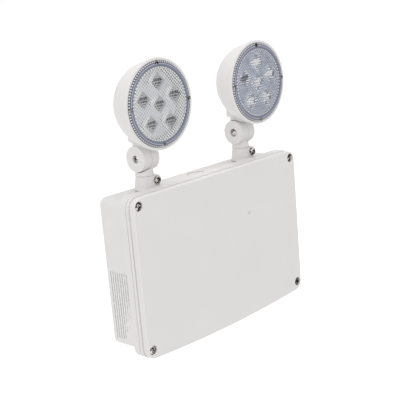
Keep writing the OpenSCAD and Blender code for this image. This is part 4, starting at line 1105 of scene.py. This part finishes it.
class BuildScrews(bpy.types.Operator):
    """Builds the stainless screws of the cover, the lenses and the clamps, and the knuckle bolts and nuts"""
    bl_idname = "emergency_light.build_screws"
    bl_label = "Screws, bolts and nuts"

    def nut(self):
        r, t, soft = 4.6 * MM, 4 * MM, 0.4 * MM
        profile = [(0, 0), (r - soft, 0), (r, soft), (r, t - soft), (r - soft, t), (0, t)]
        nut = lathe("nut", profile, Matrix(), 6)
        bore = rod("bore", BOLT_BORE_R, -MM, t + MM, Matrix())
        return shade(combine(nut, [bore], "DIFFERENCE"), 25, weighted=False)

    def execute(self, context):
        c, s, h, head = settings().cover, settings().swivel, settings().housing, settings().head
        large = screw_shape("cover screw")
        spots = [(x, c.recess_d - c.front, z) for x, z in four_ways(c.screw_x, c.screw_z)]
        screws_at("cover_screws", spots, large, 3, "housing", "cover screw steel")
        clamp = screw_shape("clamp screw")
        spots = []
        for side in SIDES:
            pan = joint_place(side + "_pan")
            spots.append((pan.x + s.clamp_x, pan.y - s.lug_depth, h.half_h + s.foot + s.clamp_up))
        screws_at("clamp_screws", spots, clamp, 5, "housing", "stainless steel")
        small = screw_shape("lens screw")
        for seed, side in enumerate(SIDES):
            place = lamp_place(side) @ upright(0, 0, -LENS_SEAT_D)
            spots = [place @ p for p in ring_points(4, head.screw_ring_r)]
            screws_at(side + "_lens_screws", spots, small, 8 + seed, side + "_lamp", "lens screw steel")
        bolt = screw_shape("knuckle bolt")
        nut = self.nut()
        for side in SIDES:
            hinge, way, out = joint_place(side + "_tilt"), STEM_WAY[side], s.drum_w / 2
            for kind, shape, facing, deep, body in (("bolt", bolt, -way, BOLT_RECESS_D, "_lamp"),
                                                    ("nut", nut, way, NUT_RECESS_D, "_stem")):
                place = sideways(hinge, facing) @ upright(0, 0, out - deep)
                finished(placed_copy(side + "_" + kind + "_piece", shape, place), side + body, "stainless",
                         "stainless steel", side + "_knuckle_" + kind)
        for piece in (large, clamp, small, bolt, nut):
            used_up(piece)
        return {"FINISHED"}


class BuildPlug(bpy.types.Operator):
    """Builds the conduit plug, its seal ring and the small status window"""
    bl_idname = "emergency_light.build_plug"
    bl_label = "Conduit plug and status window"

    def execute(self, context):
        low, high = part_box("conduit_plug")
        place = upright((low.x + high.x) / 2, (low.y + high.y) / 2, high.z)
        foot, r = low.z - high.z, 13.5 * MM
        plug = [(0, foot), (r - MM, foot), (r - 0.4 * MM, foot + 0.6 * MM), (r - 0.4 * MM, -1.2 * MM)]
        plug += in_mm((14.6, -1.2), (14.7, -1.1), (14.7, -0.9), (14.5, -0.7), (6, -0.7), (5.7, -1), (0, -1))
        finished(shade(lathe("conduit_plug_head", plug, place, 96), 30), "housing", "housing_plastic",
                 "housing plastic", "conduit_plug")
        seal = in_mm((14.75, -1.2), (14.75, -0.5), (14.9, -0.3), (15.05, -0.3), (15.15, -0.5), (15.15, -1.2))
        finished(shade(lathe("conduit_seal", seal, place, 96, ring=True), 30), "housing", "gasket_rubber",
                 "plug seal", "conduit_plug")
        low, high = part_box("status_window")
        thick = high.y - low.y
        pane = [(0, 0), (2.35 * MM, 0), (2.35 * MM, thick - 0.65 * MM), (2.75 * MM, thick - 0.65 * MM),
                (2.75 * MM, thick - 0.15 * MM), (2.65 * MM, thick - 0.05 * MM), (0, thick - 0.05 * MM)]
        place = toward_front((low.x + high.x) / 2, -high.y, (low.z + high.z) / 2)
        finished(shade(lathe("status_window_pane", pane, place, 48), 30), "housing", "optic_clear",
                 "status window", "status_window")
        return {"FINISHED"}


# The shapes that both halves of a knuckle need. Each half is on the side that its place's Z axis points to


def knuckle_clearance(s, place):
    return rod("clearance", s.drum_r + s.drum_gap, -s.drum_w, s.half_gap, place, 96)


def knuckle_ways(s, place):
    return [rod("bolt way", BOLT_BORE_R, -MM, s.drum_w, place),
            rod("wire space", WIRE_SPACE_R, -MM, s.half_gap + WIRE_SPACE_D, place, 48)]


def knuckle_drum(s, place):
    r, out, soft = s.drum_r, s.drum_w / 2, 0.8 * MM
    profile = [(0, s.half_gap), (r - 0.2 * MM, s.half_gap), (r, s.half_gap + 0.2 * MM)]
    profile += [(r - soft * (1 - cos), out - soft * (1 - sin)) for cos, sin in quarter(4)]
    profile.append((0, out))
    return lathe("drum", profile, place, 128)


def knuckle_recess(s, place, r, deep):
    out = s.drum_w / 2
    return lathe("recess", [(0, out - deep), (r - 0.2 * MM, out - deep), (r, out - deep + 0.2 * MM),
                            (r, out - 0.4 * MM), (r + 0.15 * MM, out - 0.12 * MM), (r + 0.4 * MM, out),
                            (r + 0.4 * MM, out + MM), (0, out + MM)], place, 48)


class BuildSwivels(bpy.types.Operator):
    """Builds the clamp collars and the stems that turn in them"""
    bl_idname = "emergency_light.build_swivels"
    bl_label = "Collars and stems"

    def collar(self, s, top, pan):
        foot, r0, r1, tall, soft = s.foot, s.foot_r, s.top_r, s.height, 0.6 * MM
        slope = (r1 - r0) / tall
        nipple, bore = 9.5 * MM, 5 * MM
        profile = [(0, -12 * MM), (nipple - MM, -12 * MM), (nipple, -11 * MM), (nipple, foot),
                   (r0 - 0.5 * soft, foot), (r0, foot + 0.5 * soft),
                   (r0 + 0.1 * slope * soft, foot + 1.2 * soft)]
        profile += [(r0 + slope * (tall - soft), foot + tall - soft),
                    (r1 - 0.3 * soft, foot + tall - 0.25 * soft), (r1 - soft, foot + tall), (0, foot + tall)]
        place = upright(pan.x, pan.y, top)
        piece = lathe("collar", profile, place, 96)
        reach, up = s.clamp_x, s.clamp_up
        web = [(0, 0), (reach + s.lug_r, 0), (reach + s.lug_r, up), (0, up + s.lug_r)]
        ear = [(reach + s.lug_r * math.cos(a), up + s.lug_r * math.sin(a))
               for a in (2 * math.pi * k / 48 for k in range(48))]
        for outline, deep, middle in ((web, 0.74 * s.lug_depth, Vector((reach * 0.7, up * 0.8))),
                                      (ear, s.lug_depth, Vector((reach, up)))):
            rings = []
            for y, inset in ((-deep, soft), (-deep + 0.3 * soft, 0.3 * soft), (-deep + soft, 0),
                             (deep - soft, 0), (deep - 0.3 * soft, 0.3 * soft), (deep, soft)):
                ring = []
                for x, z in outline:
                    away = Vector((x, z)) - middle
                    spot = middle + away * (1 - inset / away.length)
                    ring.append((spot.x, y, spot.y + foot))
                rings.append(ring)
            combine(piece, [loft("lug", rings, place)], "UNION")
        floor = foot + 3 * MM
        cuts = [rod("bore", s.spigot_r + 0.06 * MM, floor, 40 * MM, place, 64),
                rod("way", bore, -20 * MM, 20 * MM, place, 48),
                box_shape("slit", (0, -s.slit / 2, floor), (reach + s.lug_r + MM, s.slit / 2, 40 * MM),
                          place),
                rod("hole", 2.6 * MM, -20 * MM, 20 * MM,
                    toward_front(pan.x + reach, -pan.y, top + foot + up))]
        return combine(piece, cuts, "DIFFERENCE")

    def stem(self, s, top, pan, tilt, way):
        """The stem's drum half is on the side that way points to."""
        start = top + s.foot + 3.3 * MM
        flange = top + s.foot + s.height + 0.3 * MM
        wide, t, soft = s.top_r + 0.7 * MM, 1.8 * MM, 0.35 * MM
        profile = [(0, start), (s.spigot_r - 0.5 * MM, start), (s.spigot_r, start + 0.5 * MM)]
        groove = top + s.foot + s.clamp_up
        profile += [(s.spigot_r, groove - 3.5 * MM), (s.spigot_r - 1.6 * MM, groove - 3.5 * MM),
                    (s.spigot_r - 1.6 * MM, groove + 3.5 * MM), (s.spigot_r, groove + 3.5 * MM)]
        profile += [(s.spigot_r, flange), (wide - soft, flange), (wide, flange + soft),
                    (wide, flange + t - soft), (wide - soft, flange + t), (s.neck_r + soft, flange + t),
                    (s.neck_r, flange + t + 0.8 * MM), (s.neck_r, tilt.z), (0, tilt.z)]
        piece = lathe("stem", profile, upright(pan.x, pan.y, 0), 96)
        place = sideways(tilt, way)
        combine(piece, [knuckle_drum(s, place)], "UNION")
        cuts = [knuckle_clearance(s, place), *knuckle_ways(s, place),
                knuckle_recess(s, place, 5.5 * MM, NUT_RECESS_D),
                rod("wire way", WIRE_WAY_R, start - MM, tilt.z - WIRE_WAY_GAP, upright(pan.x, pan.y, 0))]
        combine(piece, cuts, "DIFFERENCE")
        teeth = ring_of_marks("teeth", s.teeth, s.drum_r - 0.2 * MM, (1.6 * MM, 0.7 * MM, 1.2 * MM),
                              place @ upright(0, 0, s.half_gap), None)
        return combine(piece, [teeth], "DIFFERENCE")

    def execute(self, context):
        s, h = settings().swivel, settings().housing
        for side in SIDES:
            pan, tilt = joint_place(side + "_pan"), joint_place(side + "_tilt")
            collar = self.collar(s, h.half_h, pan)
            collar.name = side + "_collar"
            finished(shade(collar), "housing", "housing_plastic", "housing plastic",
                     side + "_swivel_base")
            stem = self.stem(s, h.half_h, pan, tilt, STEM_WAY[side])
            stem.name = side + "_stem_moulding"
            finished(shade(stem), side + "_stem", "lamp_plastic", "lamp plastic", side + "_stem")
        return {"FINISHED"}


class BuildShells(bpy.types.Operator):
    """Builds the domed lamp shells with their lips, bosses and drum halves"""
    bl_idname = "emergency_light.build_shells"
    bl_label = "Lamp shells"

    def dome(self, head):
        """The outside, as (radius, height) points from the back of the dome to the front of the lip."""
        r, back, lip = head.shell_r, DOME_BACK, head.lip_r
        proud, soft = -1.5 * MM, 1 * MM
        points = [(0, back - r)]
        points += [(r * sin, back - r * cos) for cos, sin in quarter(40)[1:-1]]
        points += [(r, back - 0.4 * MM), (r + 0.3 * MM, back - 0.05 * MM), (lip - 0.4 * MM, back),
                   (lip, back + 0.4 * MM), (lip, proud - soft)]
        points += [(lip - soft * (1 - cos), proud - soft * (1 - sin)) for cos, sin in quarter(5)[1:]]
        points.append((0, proud))
        return points

    def hollow(self, head):
        r, back = head.shell_r - head.wall, DOME_BACK
        ring, land, seat = -8 * MM, head.lens_r - 6.2 * MM, -4 * MM
        rise = math.acos((back - ring) / r)
        points = [(0, back - r)]
        points += [(r * math.sin(a), back - r * math.cos(a)) for a in (rise * k / 30 for k in range(1, 31))]
        room, mouth = head.lens_r + 0.3 * MM, head.lens_r + 0.55 * MM
        points += [(land, ring), (land, seat), (room, seat), (room, -1.9 * MM), (mouth, -1.48 * MM),
                   (mouth, 2 * MM), (0, 2 * MM)]
        return points

    def execute(self, context):
        s, head = settings().swivel, settings().head
        for side in SIDES:
            tilt, front = joint_place(side + "_tilt"), lamp_place(side)
            place, stand = sideways(tilt, -STEM_WAY[side]), Matrix.Translation(tilt)
            shell = lathe(side + "_shell", self.dome(head), front, 160)
            soft = 0.6 * MM
            boss = [(0, s.boss_up), (s.boss_r - soft, s.boss_up), (s.boss_r, s.boss_up + soft),
                    (s.boss_r, head.up), (0, head.up)]
            combine(shell, [lathe("boss", boss, stand, 96)], "UNION")
            neck = rod("neck", s.neck_r, 0, s.boss_up + MM, stand, 96)
            combine(neck, [knuckle_clearance(s, place)], "DIFFERENCE")
            combine(neck, [knuckle_drum(s, place)], "UNION")
            combine(shell, [neck], "UNION")
            cuts = [lathe("hollow", self.hollow(head), front, 160), *knuckle_ways(s, place),
                    knuckle_recess(s, place, 5 * MM, BOLT_RECESS_D),
                    rod("wire way", WIRE_WAY_R, WIRE_WAY_GAP, 45 * MM, stand)]
            combine(shell, cuts, "DIFFERENCE")
            finished(shade(shell), side + "_lamp", "lamp_plastic", side + " shell", side + "_lamp_shell")
        return {"FINISHED"}


class BuildLenses(bpy.types.Operator):
    """Builds both lenses: a ringed flange with a ribbed edge, and a window of diamond prisms"""
    bl_idname = "emergency_light.build_lenses"
    bl_label = "Lenses"

    def flange(self, head):
        r, t, ridge = head.lens_r, head.lens_t, head.ridge_r
        inner, step, edge = head.window_r + 0.02 * MM, head.window_step, 0.35 * MM
        profile = [(inner, -t), (inner, -step), (inner + 0.5 * MM, -0.1 * MM), (inner + 0.9 * MM, 0)]
        profile += [(ridge - 0.5 * MM, 0), (ridge - 0.35 * MM, 0.3 * MM), (ridge, 0.4 * MM),
                    (ridge + 0.35 * MM, 0.3 * MM), (ridge + 0.5 * MM, 0)]
        profile += [(r - 1.9 * MM, 0), (r - 1.5 * MM, -0.15 * MM), (r - 0.3 * MM, -4 * edge),
                    (r - 0.05 * MM, -5 * edge), (r - 0.05 * MM, -t)]
        ring = lathe("flange", profile, Matrix(), 160, ring=True)
        cuts = []
        for p in ring_points(4, head.screw_ring_r):
            seat = [(0, -LENS_SEAT_D), (3.1 * MM, -LENS_SEAT_D)]
            seat += in_mm((3.1, -0.4), (3.5, 0.6), (0, 0.6))
            cuts.append(lathe("seat", seat, Matrix.Translation(p), 32))
            cuts.append(rod("hole", 1.6 * MM, -4 * MM, -1 * MM, Matrix.Translation(p), 24))
        return combine(ring, cuts, "DIFFERENCE")

    def window(self, head):
        """A flat back and a front of diamond prisms, trimmed round."""
        side, r = head.prism, head.window_r
        tips, back = -head.window_step, -head.lens_t
        cells = int(r / side) + 2
        turn = Matrix.Rotation(math.pi / 4, 3, "Z")
        bm = bmesh.new()
        rows = [[bm.verts.new(turn @ Vector((i * side, j * side, tips - head.prism_d)))
                 for i in range(-cells, cells + 1)] for j in range(-cells, cells + 1)]
        for j in range(2 * cells):
            for i in range(2 * cells):
                square = [rows[j][i], rows[j][i + 1], rows[j + 1][i + 1], rows[j + 1][i]]
                middle = sum((v.co for v in square), Vector()) / 4
                tip = bm.verts.new((middle.x, middle.y, tips))
                for k in range(4):
                    bm.faces.new([square[k], tip, square[(k + 1) % 4]])
        edge = [rows[0][i] for i in range(2 * cells)] + [rows[j][-1] for j in range(2 * cells)]
        edge += [rows[-1][i] for i in range(2 * cells, 0, -1)] + [rows[j][0] for j in range(2 * cells, 0, -1)]
        top = [bm.verts.new((v.co.x, v.co.y, back)) for v in edge]
        for k in range(len(edge)):
            j = (k + 1) % len(edge)
            bm.faces.new([edge[k], edge[j], top[j], top[k]])
        bm.faces.new(top)
        slab = finish_mesh("window", bm)
        return combine(slab, [rod("disc", r, -9 * MM, 9 * MM, Matrix(), 160)], "INTERSECT")

    def execute(self, context):
        head = settings().head
        flange, window = self.flange(head), self.window(head)
        for side in SIDES:
            place = lamp_place(side)
            # The edge ribs and dashes take the near-white finish: painted highlight
            bright = material("lens edge")
            ribs = ring_of_marks(side + "_lens_ribs", head.ribs, head.lens_r - 0.75 * MM,
                                 (1.2 * MM, 1.6 * MM, 1.45 * MM), place @ upright(0, 0, -1.0 * MM), bright)
            dashes = ring_of_marks(side + "_lens_dashes", head.dashes, head.window_r - 1.2 * MM,
                                   (1.3 * MM, 2.0 * MM, 0.6 * MM),
                                   place @ upright(0, 0, -head.window_step + 0.05 * MM), bright)
            ring = placed_copy(side + "_lens_flange", flange, place)
            disc = placed_copy(side + "_lens_window", window, place)
            for piece, look in ((ring, side + " flange"), (disc, side + " window"),
                                (ribs, "lens edge"), (dashes, "lens edge")):
                shade(piece, 20, weighted=False)
                finished(piece, side + "_lamp", "lens_clear", look, side + "_lens")
        for piece in (flange, window):
            used_up(piece)
        return {"FINISHED"}


class BuildOptics(bpy.types.Operator):
    """Builds the cup and the dark core in front of each emitter, and in the right lamp white bars of painted glint
    """
    bl_idname = "emergency_light.build_optics"
    bl_label = "Optics"

    def marks(self):
        """Places and half sizes, in millimetres, of the short bars in one optic, which are dark or white bars of
        painted glint.
        """
        rows = [(x, 1.6, 1.4, 1.9) for x in (-3.8, 0, 3.8, 7.2)]
        rows += [(x, -2.5, 1.3, 1.2) for x in (-1.8, 2.0, 5.4)]
        rows += [(x, 5.6, 0.8, 0.45) for x in (-3.2, 0.4)] + [(x, -5.6, 0.9, 0.6) for x in (-3.6, 0.4, 3.4)]
        return rows + [(-7.0, 0.4, 0.8, 0.5), (-6.0, -2.4, 0.9, 1.0), (-2, -7.8, 0.8, 0.7)]

    def bar(self, place, half_w, half_h):
        w, h, d = half_w * MM, half_h * MM, 1.2 * MM
        outline = soften([(-w, -h, 0.3 * MM), (w, -h, 0.3 * MM), (w, h, 0.3 * MM), (-w, h, 0.3 * MM)], 2)
        return loft("bar", [[(q.x, q.y, z) for q in outline] for z in (-MM, d)], place)

    def execute(self, context):
        head = settings().head
        r, h = head.optic_r, head.optic_h
        cup = [(0, 0), (5 * MM, 0), (r - 0.1 * MM, h - 1.5 * MM), (r, h - 1.2 * MM), (r, h - 0.4 * MM),
               (r - 0.4 * MM, h), (0, h)]
        corners = ((1, 0), (0, 1.05), (-1, 0), (0, -1.05))
        for side in SIDES:
            place = lamp_place(side) @ upright(0, 0, -head.optic_back)
            spots = optic_spots()
            cups = [lathe("cup", cup, place @ Matrix.Translation(p), 64) for p in spots]
            levels = ((r - 0.8 * MM, h - MM), (r - 0.8 * MM, h), (r - 4 * MM, h + 0.8 * MM))
            facets = [loft("facet", [[(half * x, half * y, z) for x, y in corners] for half, z in levels],
                           place @ Matrix.Translation(p)) for p in spots]
            bars = [self.bar(place @ Matrix.Translation(p + Vector(((x + 1) * MM, y * MM, h + 0.3 * MM))),
                             w, tall) for p in spots for x, y, w, tall in self.marks()]
            each = len(bars) // len(spots)
            # In the right lamp only one optic keeps dark bars; the bars of the others take the white painted glint
            dark = bars if side == "left" else bars[2 * each:3 * each]
            light = [bar for bar in bars if bar not in dark]
            for kind, pieces in (("cups", cups), ("facets", facets), ("cores", dark), ("glints", light)):
                if not pieces:
                    continue
                piece = shade(merged(side + "_optic_" + kind, pieces), 40, weighted=False)
                look = {"cups": side + " optic", "facets": side + " facet", "cores": "optic core",
                        "glints": "optic glint"}[kind]
                finished(piece, side + "_lamp", "optic_clear", look, side + "_led_optics")
        return {"FINISHED"}


# Each light's place, size and share of the key light's power
LIGHTS = (("key", (-2.2, -1.2, 1.5), 1.8, 1), ("top", (0.3, -0.4, 2.2), 1.6, 0.8))
LIGHT_AIM = Vector((0, 0, 0.05))
FLOOR_REACH = 40
FLOOR_GLOW = 0.5


class BuildStage(bpy.types.Operator):
    """Makes the floor, the lights, the world and the camera"""
    bl_idname = "emergency_light.build_stage"
    bl_label = "Stage"

    def execute(self, context):
        s = settings().stage
        scene = context.scene
        scene.view_settings.view_transform = "Standard"
        data = bpy.data.cameras.new("camera")
        data.lens = s.lens
        data.sensor_width = 36
        data.clip_start = 0.01
        data.clip_end = 200
        camera = new_object("camera", data)
        right = Vector((math.cos(s.yaw), -math.sin(s.yaw), 0))
        level = math.cos(s.pitch)
        ahead = Vector((math.sin(s.yaw) * level, math.cos(s.yaw) * level, -math.sin(s.pitch)))
        up = right.cross(ahead)
        lean = Matrix.Rotation(-s.roll, 3, -ahead)
        turned = Matrix((lean @ right, lean @ up, -ahead)).transposed()
        camera.matrix_world = Matrix.Translation(s.eye) @ turned.to_4x4()
        scene.camera = camera
        self.make_floor(s)
        self.make_world(s, scene)
        for name, spot, size, share in LIGHTS:
            self.make_light(name, Vector(spot), size, s.key_power * share)
        return {"FINISHED"}

    def seen_rays(self, tree):
        """1 for what the camera, a reflection or a clear piece sees, 0 for light that falls on things."""
        path = new_node(tree, "ShaderNodeLightPath").outputs
        seen = path["Is Camera Ray"]
        for kind in ("Is Glossy Ray", "Is Transmission Ray"):
            seen = new_node(tree, "ShaderNodeMath", {0: seen, 1: path[kind]}, operation="MAXIMUM").outputs[0]
        return seen

    def make_floor(self, s):
        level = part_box("front_cover")[0].z - s.floor_drop
        bm = bmesh.new()
        bm.faces.new([bm.verts.new((x * FLOOR_REACH, y * FLOOR_REACH, level))
                      for x, y in ((-1, -1), (1, -1), (1, 1), (-1, 1))])
        floor = finish_mesh("floor", bm)
        n = Nodes("floor paper")
        n.set(**{"Base Color": (0.9, 0.9, 0.9, 1), "Roughness": 0.9, "Emission Color": (1, 1, 1, 1)})
        n.feed("Emission Strength", n.math("MULTIPLY", self.seen_rays(n.tree), FLOOR_GLOW))
        floor.data.materials.append(n.material)

    def make_world(self, s, scene):
        world = bpy.data.worlds.new("studio")
        scene.world = world
        world.use_nodes = True
        tree = world.node_tree
        light = tree.nodes["Background"]
        light.inputs["Color"].default_value = (1, 1, 1, 1)
        strength = new_node(tree, "ShaderNodeMapRange", {
            "Value": self.seen_rays(tree), "To Min": s.ambient, "To Max": 1})
        tree.links.new(strength.outputs["Result"], light.inputs["Strength"])

    def make_light(self, name, place, size, power):
        data = bpy.data.lights.new(name, "AREA")
        data.size = size
        data.energy = power
        lamp = new_object(name, data)
        aim = (LIGHT_AIM - place).to_track_quat("-Z", "Y")
        lamp.matrix_world = Matrix.Translation(place) @ aim.to_matrix().to_4x4()
        lamp.visible_transmission = False


class EmergencyLight(bpy.types.PropertyGroup):
    housing: bpy.props.PointerProperty(type=HousingSizes)
    cover: bpy.props.PointerProperty(type=CoverSizes)
    head: bpy.props.PointerProperty(type=HeadSizes)
    swivel: bpy.props.PointerProperty(type=SwivelSizes)
    finishes: bpy.props.PointerProperty(type=Finishes)
    stage: bpy.props.PointerProperty(type=StageSettings)


STEPS = (PaintPieces, BuildHousing, BuildCover, BuildPlug, BuildSwivels, BuildShells, BuildScrews,
         BuildLenses, BuildOptics, BuildStage)


class LightPanel(bpy.types.Panel):
    """Lists the steps that build the light"""
    bl_idname = "VIEW3D_PT_emergency_light"
    bl_label = "Emergency light"
    bl_space_type = "VIEW_3D"
    bl_region_type = "UI"
    bl_category = "Emergency light"

    def draw(self, context):
        for step in STEPS:
            self.layout.operator(step.bl_idname)


CLASSES = (HousingSizes, CoverSizes, HeadSizes, SwivelSizes, Finishes, StageSettings, EmergencyLight, *STEPS,
           LightPanel)


def register():
    for cls in CLASSES:
        bpy.utils.register_class(cls)
    bpy.types.Scene.emergency_light = bpy.props.PointerProperty(type=EmergencyLight)


def unregister():
    del bpy.types.Scene.emergency_light
    for cls in reversed(CLASSES):
        bpy.utils.unregister_class(cls)


def main():
    register()
    for step in STEPS:
        group, call = step.bl_idname.split(".")
        if getattr(getattr(bpy.ops, group), call)() != {"FINISHED"}:
            raise RuntimeError(step.bl_label + " didn't finish")


if __name__ == "__main__":
    main()
